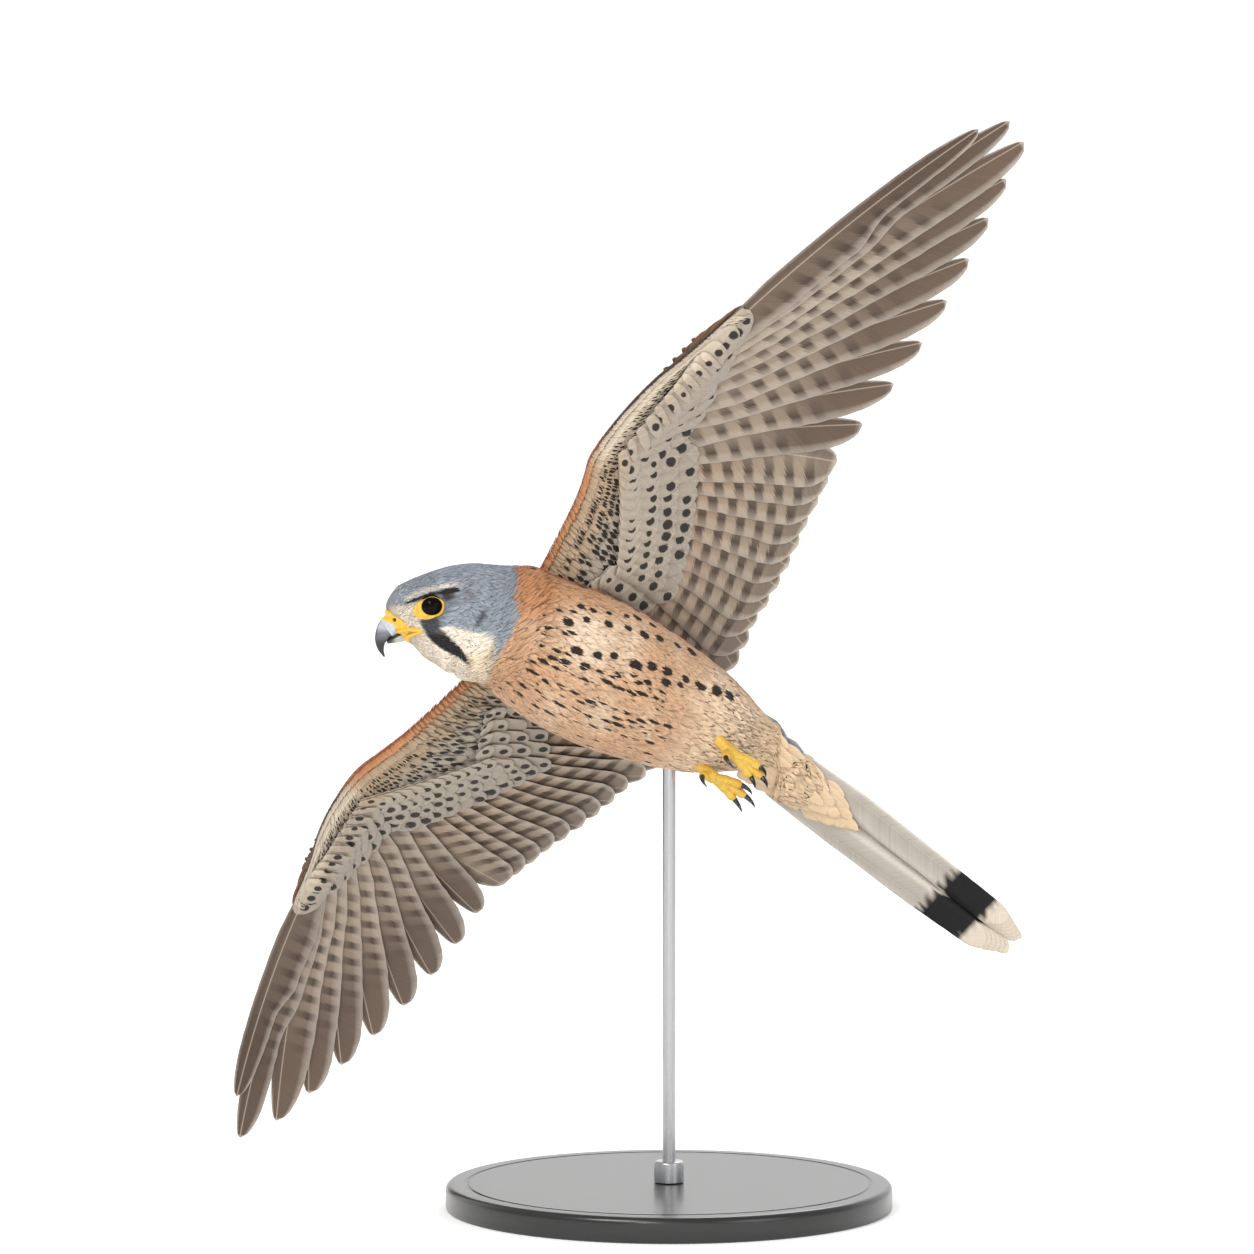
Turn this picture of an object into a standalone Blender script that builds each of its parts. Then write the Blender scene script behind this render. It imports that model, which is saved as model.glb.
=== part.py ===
"""A common kestrel, an adult cock, life size: banking hard on spread wings, on a display stand.

Sizes are in millimetres and degrees, and turn to metres where a mesh is made. The body's
own places are (behind, left, up): millimetres behind the breast along the body, to the
bird's left, and towards its back. Each wing is laid out flat on its own plane, as
(outward, backward, raised) from the shoulder.
"""

import math

import bmesh
import bpy
import numpy as np

MM = 0.001
GAP = 0.3

# The stand, with its underside on z = 0 and its rod at the origin
BASE_RADIUS, BASE_HEIGHT, BASE_BEVEL = 105.0, 12.0, 3.0
ROD_RADIUS, ROD_IN_BODY = 3.0, 14.0
COLLAR_RADIUS, COLLAR_HEIGHT = 7.0, 10.0

# How the bird flies: it heads along -X turned towards -Y, climbs, and banks to its right
HEADING, CLIMB, BANK = 20.7, 25.3, 59.7
PERCH_HEIGHT, PERCH_BEHIND = 237.0, 76.0

# The trunk: how far behind the breast, half width, half height, and rise of the middle
TRUNK = (
    (-6, 30.0, 28.0, 0.0),
    (10, 34.5, 31.0, 0.0),
    (30, 36.0, 32.0, -0.5),
    (50, 35.0, 31.5, -1.0),
    (70, 32.0, 29.0, -1.0),
    (90, 27.5, 25.0, -0.5),
    (105, 22.5, 20.5, 0.5),
    (120, 16.0, 14.5, 1.7),
    (133, 11.2, 10.0, 3.0),
)

# The head: its middle from the breast, and its level axes, looking along -X
HEAD_AT = (-37.3, -5.0, -1.2)
HEAD_NOD, HEAD_ROLL = 3.0, 4.0
# Skull rings: ahead and above the head's middle, half width, half height, backward lean
SKULL = (
    (-13.5, -3.0, 24.5, 27.0, 27.0),
    (-5.0, 0.5, 19.5, 24.3, 14.0),
    (4.0, 0.0, 17.4, 23.4, 4.0),
    (12.0, 0.9, 15.2, 20.2, 0.0),
    (18.5, 1.4, 12.4, 17.0, -6.0),
    (23.8, 1.0, 9.2, 14.0, -16.0),
    (28.0, -0.4, 6.2, 10.2, -25.0),
)
EYE_AT, EYE_RADIUS, LID_RADIUS, LID_THICK = (12.1, 5.3), 6.0, 5.2, 0.8
EYE_OUT = 10.4
# Upper bill rings: ahead, above, half width, half height, forward droop
BILL = (
    (28.1, -1.2, 5.2, 5.6, 25.0),
    (31.4, -3.0, 4.5, 5.4, 29.0),
    (34.2, -5.8, 3.3, 4.3, 42.0),
    (35.8, -9.6, 2.0, 2.8, 66.0),
    (35.7, -13.4, 1.0, 1.5, 84.0),
    (34.4, -16.6, 0.3, 0.4, 95.0),
)
CERE_RINGS = 2
LOWER_BILL = (
    (24.3, -9.7, 4.3, 2.0, 20.0),
    (28.4, -10.9, 3.4, 1.7, 8.0),
    (32.2, -11.4, 1.5, 0.8, 0.0),
)
NOSTRIL_AT, NOSTRIL_RADIUS = (29.6, -1.2), 1.0
GAPE_FROM, GAPE_LENGTH, GAPE_OPEN = (16.5, -6.2), 12.0, 0.7

# Wing bones and feathers, alike on both sides
UPPER_ARM, FOREARM, HAND = 45.0, 52.0, 60.0
PRIMARIES, SECONDARIES, TERTIALS = 10, 11, 4
FIRST_PRIMARY, PRIMARY_STEP = 124.0, 9.85
SECONDARY_LENGTHS = ((0, 114.0), (3, 105.0), (8, 97.5), (10, 100.0))
PRIMARY_VANE, SECONDARY_VANE = (4.5, 13.0), (7.5, 15.0)
VANE_HOLLOW, HAND_DROOP = 0.02, 15.0
FEATHER_THICK, FEATHER_STEP = 0.5, 0.82
SHINGLE = math.tan(math.radians(8.0))
CORE_OVER_ROOTS = 17.0

# Each wing's pose: shoulder in the body, rise and twist of its plane, wrist reach and turn,
# turn of the hand, the lie of the outer and inner primary and secondary, how the primaries
# and the secondaries crowd in their fan, and the lie and length of the last two primaries,
# which flex by themselves
WINGS = {
    "left": {
        "side": 1, "shoulder": (-1.8, 9.9, 16.0), "rise": 3.8, "twist": -11.0,
        "wrist": (85.0, 9.1), "hand": 11.9, "fan": (17.9, 60.1, 68.4, 110.4),
        "crowd": (1.5, 1.1), "outermost": ((18.1, 187.8), (16.0, 168.5)),
    },
    "right": {
        "side": -1, "shoulder": (-0.8, -44.8, 18.5), "rise": 13.9, "twist": -14.1,
        "wrist": (80.5, 12.9), "hand": 11.8, "fan": (15.9, 58.7, 67.4, 106.6),
        "crowd": (1.3, 1.2), "outermost": ((17.1, 195.9), (14.7, 161.0)),
    },
}

# The tail, nearly shut: its root, how it bends down and swings right, and its feathers
TAIL_AT, TAIL_DOWN, TAIL_RIGHT = (120.0, -1.6, 3.0), 10.0, 7.8
TAIL_PAIRS, TAIL_ROOT, TAIL_LENGTH, TAIL_TIP_STEP = 6, 24.0, 167.0, 2.4
TAIL_HALF, TAIL_STEP, TAIL_TOP = 16.0, 1.3, 1.6
TAIL_COVERT_ROOT, TAIL_COVERTS_OVER, TAIL_COVERTS_UNDER = 30.0, 66.0, 56.0
# The tail's core: behind the root, half width, half height, rise of the middle
TAIL_CORE = (
    (13.5, 12.0, 9.8, 0.0),
    (25, 13.8, 8.2, -0.6),
    (36, 12.8, 5.6, -1.2),
    (48, 8.5, 2.4, -0.8),
)

# Feet, tucked under the tail: where the shank leaves the belly, the toes' root
FEET = {
    "left": {"side": 1, "shank": (92.0, 6.0, -18.0), "foot": (103.5, 6.0, -30.5), "lean": 0.3},
    "right": {"side": -1, "shank": (93.0, -11.5, -17.0), "foot": (104.0, -11.0, -27.0), "lean": -0.08},
}
SHANK_RADIUS, TOE_RADIUS, TOE_LENGTHS = 2.8, 2.1, (14.0, 18.0, 15.0, 9.0)
TOE_SPREAD, TOE_BEND = (17.0, 0.0, -17.0, 180.0), (32.0, 32.0, 32.0, 75.0)
TOE_JOINTS = np.array((1.15, 1.0, 1.1, 0.92, 1.0, 0.75))
CLAW_LENGTH, CLAW_RADIUS, CLAW_HOOK = 8.5, 1.35, 60.0

ROUND = 24


def unit(vector):
    return np.asarray(vector, float) / np.linalg.norm(vector)


def turned(vector, axis, degrees):
    """The vector turned about an axis by the right-hand rule (Rodrigues' formula)."""
    axis, angle = unit(axis), math.radians(degrees)
    along = axis * np.dot(axis, vector)
    across = np.cross(axis, vector)
    return along + (vector - along) * math.cos(angle) + across * math.sin(angle)


def flight_axes():
    """The body's forward, left and up directions, from its heading, climb and bank."""
    level = turned(np.array((-1.0, 0.0, 0.0)), (0, 0, 1), HEADING)
    left = unit(np.cross((0, 0, 1), level))
    fore = turned(level, left, -CLIMB)
    left = turned(left, fore, BANK)
    return fore, left, np.cross(fore, left)


FORE, LEFT, UP = flight_axes()


def in_body(behind, left, up):
    """World millimetres of a place given in the body's own directions."""
    perch = np.array((0.0, 0.0, PERCH_HEIGHT))
    return perch + FORE * (PERCH_BEHIND - behind) + LEFT * left + UP * up


def head_axes():
    """The head's forward, left and up directions: it stays level as the body banks."""
    fore = turned(np.array((-1.0, 0.0, 0.0)), (0, -1, 0), HEAD_NOD)
    left = turned(np.array((0.0, -1.0, 0.0)), fore, HEAD_ROLL)
    return fore, left, np.cross(fore, left)


HEAD_FORE, HEAD_LEFT, HEAD_UP = head_axes()


def in_head(ahead, left, up):
    return in_body(*HEAD_AT) + HEAD_FORE * ahead + HEAD_LEFT * left + HEAD_UP * up


def material(name, colour, roughness=0.8, metallic=0.0):
    found = bpy.data.materials.get(name) or bpy.data.materials.new(name)
    found.use_nodes = True
    shader = found.node_tree.nodes["Principled BSDF"]
    shader.inputs["Base Color"].default_value = (*colour, 1.0)
    shader.inputs["Roughness"].default_value = roughness
    shader.inputs["Metallic"].default_value = metallic
    return found


def piece(name, points, faces):
    """An object from points in millimetres, its faces turned outwards."""
    points, faces = np.asarray(points, float), np.asarray(faces, int)
    corners = points[faces]
    if np.linalg.det(corners).sum() < 0:
        faces = faces[:, ::-1]
    mesh = bpy.data.meshes.new(name)
    mesh.from_pydata((points * MM).tolist(), [], faces.tolist())
    made = bpy.data.objects.new(name, mesh)
    bpy.context.scene.collection.objects.link(made)
    return made


def skin_over(rings):
    """Points and triangles of a closed skin over rings, fanned shut at both ends."""
    rings = np.asarray(rings, float)
    count, sides = rings.shape[:2]
    points = np.vstack((rings.reshape(-1, 3), rings[0].mean(0), rings[-1].mean(0)))
    faces = []
    for ring in range(count - 1):
        for side in range(sides):
            a, b = ring * sides + side, ring * sides + (side + 1) % sides
            faces += [(a, b, b + sides), (a, b + sides, a + sides)]
    first, last = count * sides, count * sides + 1
    for side in range(sides):
        after = (side + 1) % sides
        faces.append((first, after, side))
        faces.append((last, last - 1 - sides + side, last - 1 - sides + after))
    return points, faces


def oval(middle, across, along, width, height, sides=ROUND):
    """A ring: middle + across * width * cos + along * height * sin, once round."""
    turn = np.linspace(0, 2 * np.pi, sides, endpoint=False)[:, None]
    return middle + across * width * np.cos(turn) + along * height * np.sin(turn)


def smooth(values, steps):
    """A Catmull-Rom curve through rows of values, with steps points in each span."""
    values = np.asarray(values, float)
    ends = np.vstack((2 * values[0] - values[1], values, 2 * values[-1] - values[-2]))
    t = np.arange(steps)[:, None] / steps
    spans = []
    for a, b, c, d in zip(ends, ends[1:], ends[2:], ends[3:]):
        bend = (2 * a - 5 * b + 4 * c - d) * t**2 + (3 * b - a - 3 * c + d) * t**3
        spans.append(b + ((c - a) * t + bend) / 2)
    return np.vstack((*spans, values[-1:]))


def tube(name, path, radii, sides=8):
    """A round rod along a path, its rings square to it and carried on without a twist."""
    path, radii = np.asarray(path, float), np.asarray(radii, float)
    tangents = np.gradient(path, axis=0)
    across = unit(np.cross(tangents[0], unit((0.3, 0.5, 0.8))))
    rings = []
    for middle, tangent, radius in zip(path, tangents, radii):
        tangent = unit(tangent)
        across = unit(across - tangent * np.dot(across, tangent))
        rings.append(oval(middle, across, np.cross(tangent, across), radius, radius, sides))
    return piece(name, *skin_over(rings))


def ball(name, middle, radius, stretch=(1, 1, 1), rings=10, sides=16):
    """A closed ellipsoid along the head's axes, with its poles left and right."""
    turn = np.linspace(0, np.pi, rings + 2)[1:-1]
    across, along = HEAD_FORE * stretch[0], HEAD_UP * stretch[2]
    side = HEAD_LEFT * stretch[1]
    made = []
    for angle in turn:
        ring_radius = radius * math.sin(angle)
        centre = middle + side * radius * math.cos(angle)
        made.append(oval(centre, across, along, ring_radius, ring_radius, sides))
    points, faces = skin_over(made)
    points[-2], points[-1] = middle + side * radius, middle - side * radius
    return piece(name, points, faces)


def apply_boolean(target, others, operation, solver):
    """Fuses or cuts with a collection of closed meshes, which is then removed."""
    group = bpy.data.collections.new("pieces")
    for other in others:
        group.objects.link(other)
    boolean = target.modifiers.new(operation.title(), "BOOLEAN")
    boolean.operation, boolean.solver = operation, solver
    boolean.operand_type, boolean.collection = "COLLECTION", group
    graph = bpy.context.evaluated_depsgraph_get()
    fused = bpy.data.meshes.new_from_object(target.evaluated_get(graph))
    target.modifiers.clear()
    target.data = fused
    for other in others:
        bpy.data.objects.remove(other)
    bpy.data.collections.remove(group)


def keep_largest(target):
    """Drops every closed surface of a mesh but the one that holds the most."""
    mesh = bmesh.new()
    mesh.from_mesh(target.data)
    bmesh.ops.triangulate(mesh, faces=mesh.faces[:])
    waiting, groups = set(mesh.faces), []
    while waiting:
        reached = [waiting.pop()]
        group = list(reached)
        while reached:
            face = reached.pop()
            for edge in face.edges:
                for other in edge.link_faces:
                    if other in waiting:
                        waiting.discard(other)
                        reached.append(other)
                        group.append(other)
        held = 0.0
        for face in group:
            a, b, c = (corner.co for corner in face.verts)
            held += a.dot(b.cross(c)) / 6
        groups.append((held, group))
    groups.sort(key=lambda entry: entry[0])
    for _, group in groups[:-1]:
        bmesh.ops.delete(mesh, geom=group, context="FACES")
    loose = [point for point in mesh.verts if not point.link_faces]
    bmesh.ops.delete(mesh, geom=loose, context="VERTS")
    mesh.to_mesh(target.data)
    mesh.free()


def node(name, look, pieces, cutters=(), solver="EXACT"):
    """One named solid: its pieces fused, its cutters taken away, in one material."""
    made = pieces[0]
    made.name = name
    if len(pieces) > 1:
        apply_boolean(made, pieces[1:], "UNION", solver)
        keep_largest(made)
    if cutters:
        apply_boolean(made, list(cutters), "DIFFERENCE", solver)
        keep_largest(made)
    made.data.materials.clear()
    made.data.materials.append(look)
    made.data.shade_smooth()
    made.data.set_sharp_from_angle(angle=math.radians(40))
    return made


# Trunk, neck and skull are one skin, parted by thin gaps


def trunk_rings(grow=0.0, start=TRUNK[0][0], stop=TRUNK[-1][0]):
    """Ovals square to the body, from the front of the breast to the root of the tail."""
    rings = []
    for behind, width, height, rise in smooth(TRUNK, 2):
        place = start if behind == TRUNK[0][0] else min(behind, stop)
        middle = in_body(place, 0, rise)
        rings.append(oval(middle, LEFT, UP, width + grow, height + grow))
    return rings


def skull_ring(ahead, above, width, height, lean):
    """An oval across the head, its top leaning back by the given angle."""
    middle = in_head(ahead, 0, above)
    return oval(middle, HEAD_LEFT, turned(HEAD_UP, HEAD_LEFT, -lean), width, height)


def neck_rings(grow=0.0, margin=GAP):
    """Rings that turn from the trunk's front oval to the skull's rear one."""
    behind, width, height, rise = TRUNK[0]
    ahead, above, wide, high, lean = SKULL[0]
    start, end = in_body(behind, 0, rise), in_head(ahead, 0, above)
    up_end = turned(HEAD_UP, HEAD_LEFT, -lean)
    fore_end = turned(HEAD_FORE, HEAD_LEFT, -lean)
    start, end = start + FORE * margin, end - fore_end * margin
    rings = []
    for share in np.linspace(0, 1, 6):
        across = unit(LEFT * (1 - share) + HEAD_LEFT * share)
        along = UP * (1 - share) + up_end * share
        along = unit(along - across * np.dot(along, across))
        middle = start + (end - start) * share
        size = (width + (wide - width) * share, height + (high - height) * share)
        rings.append(oval(middle, across, along, size[0] + grow, size[1] + grow))
    return rings


def rod_cutter(radius, foot=0.0):
    """The space that the stand's rod takes in the belly."""
    path = [(0, 0, foot), (0, 0, rod_top() + GAP)]
    return tube("rod_space", path, (radius, radius), 16)


def rod_top():
    """The rod ends inside the belly, a set depth above the skin straight below."""
    behind, _, heights, _ = np.transpose(TRUNK)
    belly = np.interp(PERCH_BEHIND, behind, heights) / math.cos(math.radians(CLIMB))
    return PERCH_HEIGHT - belly + ROD_IN_BODY


def body_nodes():
    warm = material("breast plumage", (0.72, 0.50, 0.30))
    grey = material("grey head plumage", (0.33, 0.34, 0.36))
    trunk = piece("torso", *skin_over(trunk_rings()))
    node("torso", warm, [trunk], [rod_cutter(ROD_RADIUS + GAP)])
    node("neck", warm, [piece("neck", *skin_over(neck_rings()))])
    skull = smooth(SKULL, 2)
    head = piece("head", *skin_over([skull_ring(*row) for row in skull]))
    pieces, sockets = [head], []
    for side, word in ((1, "left"), (-1, "right")):
        eye_middle = in_head(EYE_AT[0], side * EYE_OUT, EYE_AT[1])
        lid_out = EYE_OUT + math.sqrt(EYE_RADIUS**2 - LID_RADIUS**2) + 0.9
        turn = np.linspace(0, 2 * np.pi, 21)[:, None]
        lid_middle = in_head(EYE_AT[0], side * lid_out, EYE_AT[1])
        ring = lid_middle + (HEAD_FORE * np.cos(turn) + HEAD_UP * np.sin(turn)) * LID_RADIUS
        pieces.append(lid(ring, side))
        pieces.append(brow(side, lid_out))
        sockets.append(ball("socket", eye_middle, EYE_RADIUS + GAP))
        dark = material("eye", (0.02, 0.012, 0.008), 0.05)
        node(f"eye_{word}", dark, [ball("eye", eye_middle, EYE_RADIUS)])
    node("head", grey, pieces, sockets + [gape_cutter()])


def lid(ring, side):
    """A closed hoop of skin round one eye: a small circle carried round a large one."""
    middle = ring[:-1].mean(0)
    sides, rings = 6, []
    for place in ring[:-1]:
        rings.append(oval(place, unit(place - middle), HEAD_LEFT, LID_THICK, LID_THICK, sides))
    rings = np.array(rings)
    count = len(rings)
    faces = []
    for at in range(count):
        ring, after = at * sides, (at + 1) % count * sides
        for turn in range(sides):
            turned_on = (turn + 1) % sides
            faces.append((ring + turn, ring + turned_on, after + turned_on))
            faces.append((ring + turn, after + turned_on, after + turn))
    return piece(f"lid_{side}", rings.reshape(-1, 3), faces)


def brow(side, out):
    """The bony shelf over the eye, which gives a falcon its frown."""
    middle = in_head(EYE_AT[0] + 0.5, side * (out - 2.0), EYE_AT[1] + 5.6)
    return ball("brow", middle, 1.0, (8.0, 2.6, 1.7), 6, 12)


def gape_cutter():
    """A flat wedge that cuts the line of the mouth back from the bill into the cheeks."""
    ahead, above = GAPE_FROM
    far, half = ahead + GAPE_LENGTH, 12.0
    points, drop = [], 1.8
    for place, open_half in ((ahead, 0.1), (far, GAPE_OPEN / 2)):
        line = above - drop * (place - ahead) / GAPE_LENGTH
        for across in (-half, half):
            points.append(in_head(place, across, line - open_half))
            points.append(in_head(place, across, line + open_half))
    faces = [
        (0, 1, 3), (0, 3, 2), (4, 6, 7), (4, 7, 5), (0, 4, 5), (0, 5, 1),
        (2, 3, 7), (2, 7, 6), (1, 5, 7), (1, 7, 3), (0, 2, 6), (0, 6, 4),
    ]
    return piece("gape", points, faces)


# The bill: a cere over its root, a hooked upper half and a shorter lower one


def bill_ring(ahead, above, width, height, droop, sides=16):
    middle = in_head(ahead, 0, above)
    return oval(middle, HEAD_LEFT, turned(HEAD_UP, HEAD_LEFT, droop), width, height, sides)


def bill_nodes():
    horn = material("bill horn", (0.09, 0.10, 0.12), 0.35)
    wax = material("cere skin", (0.78, 0.55, 0.05), 0.45)
    rows = smooth(BILL, 2)
    split = 2 * (CERE_RINGS - 1)
    cere = [bill_ring(*row) for row in rows[: split + 1]]
    hook = [bill_ring(*row) for row in rows[split:]]
    hook[0] = hook[0] + HEAD_FORE * GAP
    nostrils = []
    for side in (1, -1):
        place = in_head(NOSTRIL_AT[0], side * 5.4, NOSTRIL_AT[1])
        nostrils.append(ball("nostril", place, NOSTRIL_RADIUS, (1, 1.2, 1), 4, 10))
    node("cere", wax, [piece("cere", *skin_over(cere))], nostrils)
    node("bill_upper", horn, [piece("bill_upper", *skin_over(hook))])
    lower = [bill_ring(*row) for row in smooth(LOWER_BILL, 2)]
    node("bill_lower", horn, [piece("bill_lower", *skin_over(lower))])


# Feathers: thin plates with two edges, split into triangles alike above and below


def vane(place, shaft, raised, outer, inner, slope, thick):
    """A closed plate over stations along a shaft, each with an outer and an inner edge.

    place turns (outward, backward, raised) rows to the world. The edges stand off square
    to the shaft, and the plate slopes down from its outer edge to its inner one.
    """
    shaft = np.asarray(shaft, float)
    along = np.gradient(shaft, axis=0)
    along /= np.linalg.norm(along, axis=1)[:, None]
    square = np.column_stack((along[:, 1], -along[:, 0]))
    half = np.broadcast_to(thick, len(shaft)) / 2
    corners = []
    for offset, lift in ((outer, half), (-inner, half), (-inner, -half), (outer, -half)):
        flat = shaft + square * offset[:, None]
        corners.append(np.column_stack((flat, raised + slope * offset + lift)))
    points = place(np.stack(corners, axis=1).reshape(-1, 3))
    faces, last = [], 4 * (len(shaft) - 1)
    for at in range(0, last, 4):
        ot, it, ib, ob = range(at, at + 4)
        faces += [(ot, it, it + 4), (ot, it + 4, ot + 4)]
        faces += [(ob, ib + 4, ib), (ob, ob + 4, ib + 4)]
        faces += [(ot, ot + 4, ob + 4), (ot, ob + 4, ob)]
        faces += [(it, ib + 4, it + 4), (it, ib, ib + 4)]
    faces += [(0, 2, 1), (0, 3, 2)]
    faces += [(last, last + 1, last + 2), (last, last + 2, last + 3)]
    return piece("vane", points, faces)


FLIGHT_STATIONS = np.array((0.0, 0.3, 0.6, 0.82, 0.94, 1.0))
POINTED = np.array((0.4, 0.9, 1.0, 0.9, 0.6, 0.12))
BLUNT = np.array((0.4, 0.9, 1.0, 1.0, 0.75, 0.25))
COVERT_STATIONS = np.array((0.0, 0.55, 0.88, 1.0))
COVERT_SHAPE = np.array((0.6, 1.0, 0.85, 0.2))


def square_to(lie):
    """The plan direction square to a feather's lie, towards the wing's leading edge."""
    return np.array((math.sin(math.radians(lie)), -math.cos(math.radians(lie))))


class Feather:
    """One flight feather's plan on the wing's plane: root, lie, length and widths."""

    def __init__(self, root, lie, length, bow, widths, shape):
        self.root, self.lie, self.length, self.bow = np.array(root), lie, length, bow
        self.widths, self.shape, self.raised = widths, shape, 0.0

    def direction(self):
        return np.array((math.cos(math.radians(self.lie)), math.sin(math.radians(self.lie))))

    def shaft(self, share):
        """Root + length * share along the lie, bowed forward by bow * 4 s (1 - s)."""
        share = np.asarray(share, float)[:, None]
        out = self.direction() * self.length * share
        return self.root + out + square_to(self.lie) * self.bow * 4 * share * (1 - share)

    def droop(self, share):
        """The vane's hollow underside: it falls by the square of the share."""
        return self.raised - VANE_HOLLOW * self.length * np.asarray(share) ** 2


class Wing:
    """One wing laid out flat, with what turns that plan to the world."""

    def __init__(self, pose):
        self.side, self.pose = pose["side"], pose
        reach, turn = pose["wrist"]
        turn = math.radians(turn)
        self.wrist = reach * np.array((math.cos(turn), -math.sin(turn)))
        bend = (UPPER_ARM**2 + reach**2 - FOREARM**2) / (2 * UPPER_ARM * reach)
        inner = math.acos(bend) - turn
        self.elbow = UPPER_ARM * np.array((math.cos(inner), math.sin(inner)))
        hand = math.radians(pose["hand"])
        self.hand_end = self.wrist + HAND * np.array((math.cos(hand), math.sin(hand)))
        rise, twist = math.radians(pose["rise"]), math.radians(pose["twist"])
        self.out = math.cos(rise) * LEFT * self.side + math.sin(rise) * UP
        normal = np.cross(self.out, -FORE)
        normal *= np.sign(np.dot(normal, UP))
        self.back = -FORE * math.cos(twist) - normal * math.sin(twist)
        self.up = normal * math.cos(twist) - FORE * math.sin(twist)
        self.shoulder = in_body(*pose["shoulder"])

    def place(self, rows):
        """World places of plan rows; past the wrist the hand droops by (x / 200 mm) squared."""
        out, back, raised = np.asarray(rows, float).T
        raised = raised - HAND_DROOP * (np.maximum(out - self.wrist[0], 0) / 200) ** 2
        flat = np.outer(out, self.out) + np.outer(back, self.back)
        return self.shoulder + flat + np.outer(raised, self.up)

    def flight_feathers(self):
        """Tertials, secondaries and primaries, from the body outwards, each a step lower."""
        outer_lie, first_lie, near_lie, far_lie = self.pose["fan"]
        crowd_hand, crowd_arm = self.pose["crowd"]
        row = []
        for at in range(TERTIALS, 0, -1):
            share = at / (TERTIALS + 1)
            root = self.elbow * (1 - share)
            length = 100.0 - 32.0 * share
            row.append(Feather(root, far_lie + 4 * share, length, 3.0, SECONDARY_VANE, BLUNT))
        for at in range(SECONDARIES - 1, -1, -1):
            share = at / (SECONDARIES - 1)
            root = self.wrist + (0.06 + 0.94 * share) * (self.elbow - self.wrist)
            length = np.interp(at, *zip(*SECONDARY_LENGTHS))
            lie = near_lie + (far_lie - near_lie) * share**crowd_arm
            row.append(Feather(root, lie, length, 5.0, SECONDARY_VANE, BLUNT))
        for at in range(PRIMARIES):
            share = at / (PRIMARIES - 1)
            root = self.wrist + share * (self.hand_end - self.wrist)
            lie = outer_lie + (first_lie - outer_lie) * (1 - share) ** crowd_hand
            length = FIRST_PRIMARY + PRIMARY_STEP * at
            if at >= PRIMARIES - 2:
                lie, length = self.pose["outermost"][at - PRIMARIES]
            row.append(Feather(root, lie, length, 2.5, PRIMARY_VANE, POINTED))
        for inner, outer in zip(row, row[1:]):
            spread = self.spread(inner, outer)
            outer.raised = inner.raised - max(0.0, FEATHER_STEP - SHINGLE * spread)
        return row

    def spread(self, inner, outer):
        """How far apart two neighbours' shafts are where they leave the wing's core."""
        from_inner = outer.shaft([CORE_OVER_ROOTS / outer.length])[0] - inner.root
        return max(0.0, from_inner @ square_to(inner.lie))


def flight_vane(wing, feather):
    outer, inner = feather.widths
    thick = np.full(len(FLIGHT_STATIONS), FEATHER_THICK)
    thick[-1] *= 0.7
    return vane(
        wing.place, feather.shaft(FLIGHT_STATIONS), feather.droop(FLIGHT_STATIONS),
        outer * feather.shape, inner * feather.shape, SHINGLE, thick,
    )


def covert_vane(wing, feather, start, stop, lift, widths):
    """A covert over part of its flight feather, held off it by lift on the raised axis."""
    share = start + (stop - start) * COVERT_STATIONS
    outer, inner = widths
    return vane(
        wing.place, feather.shaft(share), feather.droop(share) + lift,
        outer * COVERT_SHAPE, inner * COVERT_SHAPE, SHINGLE, FEATHER_THICK,
    )


def core_rings(wing, row):
    """Rounded wing sections from inside the trunk out along the root of the last primary."""
    secondaries = row[TERTIALS : TERTIALS + SECONDARIES]
    primaries = row[TERTIALS + SECONDARIES :]
    tip = primaries[-1]
    inside = 12.0 - abs(wing.pose["shoulder"][1])
    wall = inside + 24.0
    front = wing.wrist + (-3, -5)
    edge = tip.root + square_to(tip.lie) * PRIMARY_VANE[0]

    def behind(feather):
        return feather.shaft([CORE_OVER_ROOTS / feather.length])[0]

    armpit = np.array((wall, -9.0))
    mid_arm = armpit * 0.45 + front * 0.55 + (0, 1.5)
    stations = [
        ((inside, -7), (inside, 33), 6.5, 0.0),
        (armpit, (wall, 33), 6.5, 0.0),
        (mid_arm, wing.elbow + (0, CORE_OVER_ROOTS), 6.0, 0.0),
    ]
    for share, thick in ((0.5, 5.8), (0.95, 5.6)):
        feather = secondaries[int(round(share * (SECONDARIES - 1)))]
        ahead = mid_arm * (1 - share) + front * share
        stations.append((ahead, behind(feather), thick, feather.raised))
    for at in (3, 6, 9):
        share = at / (PRIMARIES - 1)
        bulge = square_to(wing.pose["hand"]) * 10 * share * (1 - share)
        ahead = front + (edge - front) * share + bulge
        thick, mid = 5.2 - 2.2 * share, primaries[at].raised + share
        stations.append((ahead, behind(primaries[at]), thick, mid))
    far = tip.shaft([0.2])[0]
    square = square_to(tip.lie)
    stations.append((far + square * 3.5, far - square * 4.0, 1.2, tip.raised))
    rows = np.array([(*ahead, *back, thick, mid) for ahead, back, thick, mid in stations])
    chord = np.array((0.0, 0.06, 0.3, 0.6, 0.85, 1.0, 1.0, 0.85, 0.6, 0.3, 0.06))
    bulge = np.array((0.0, 0.5, 1.0, 0.95, 0.6, 0.25, -0.25, -0.6, -0.95, -1.0, -0.5))
    rings = []
    for ax, ay, bx, by, thick, mid in smooth(rows, 2):
        flat = np.outer(1 - chord, (ax, ay)) + np.outer(chord, (bx, by))
        rings.append(wing.place(np.column_stack((flat, mid + bulge * thick))))
    return rings


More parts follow.
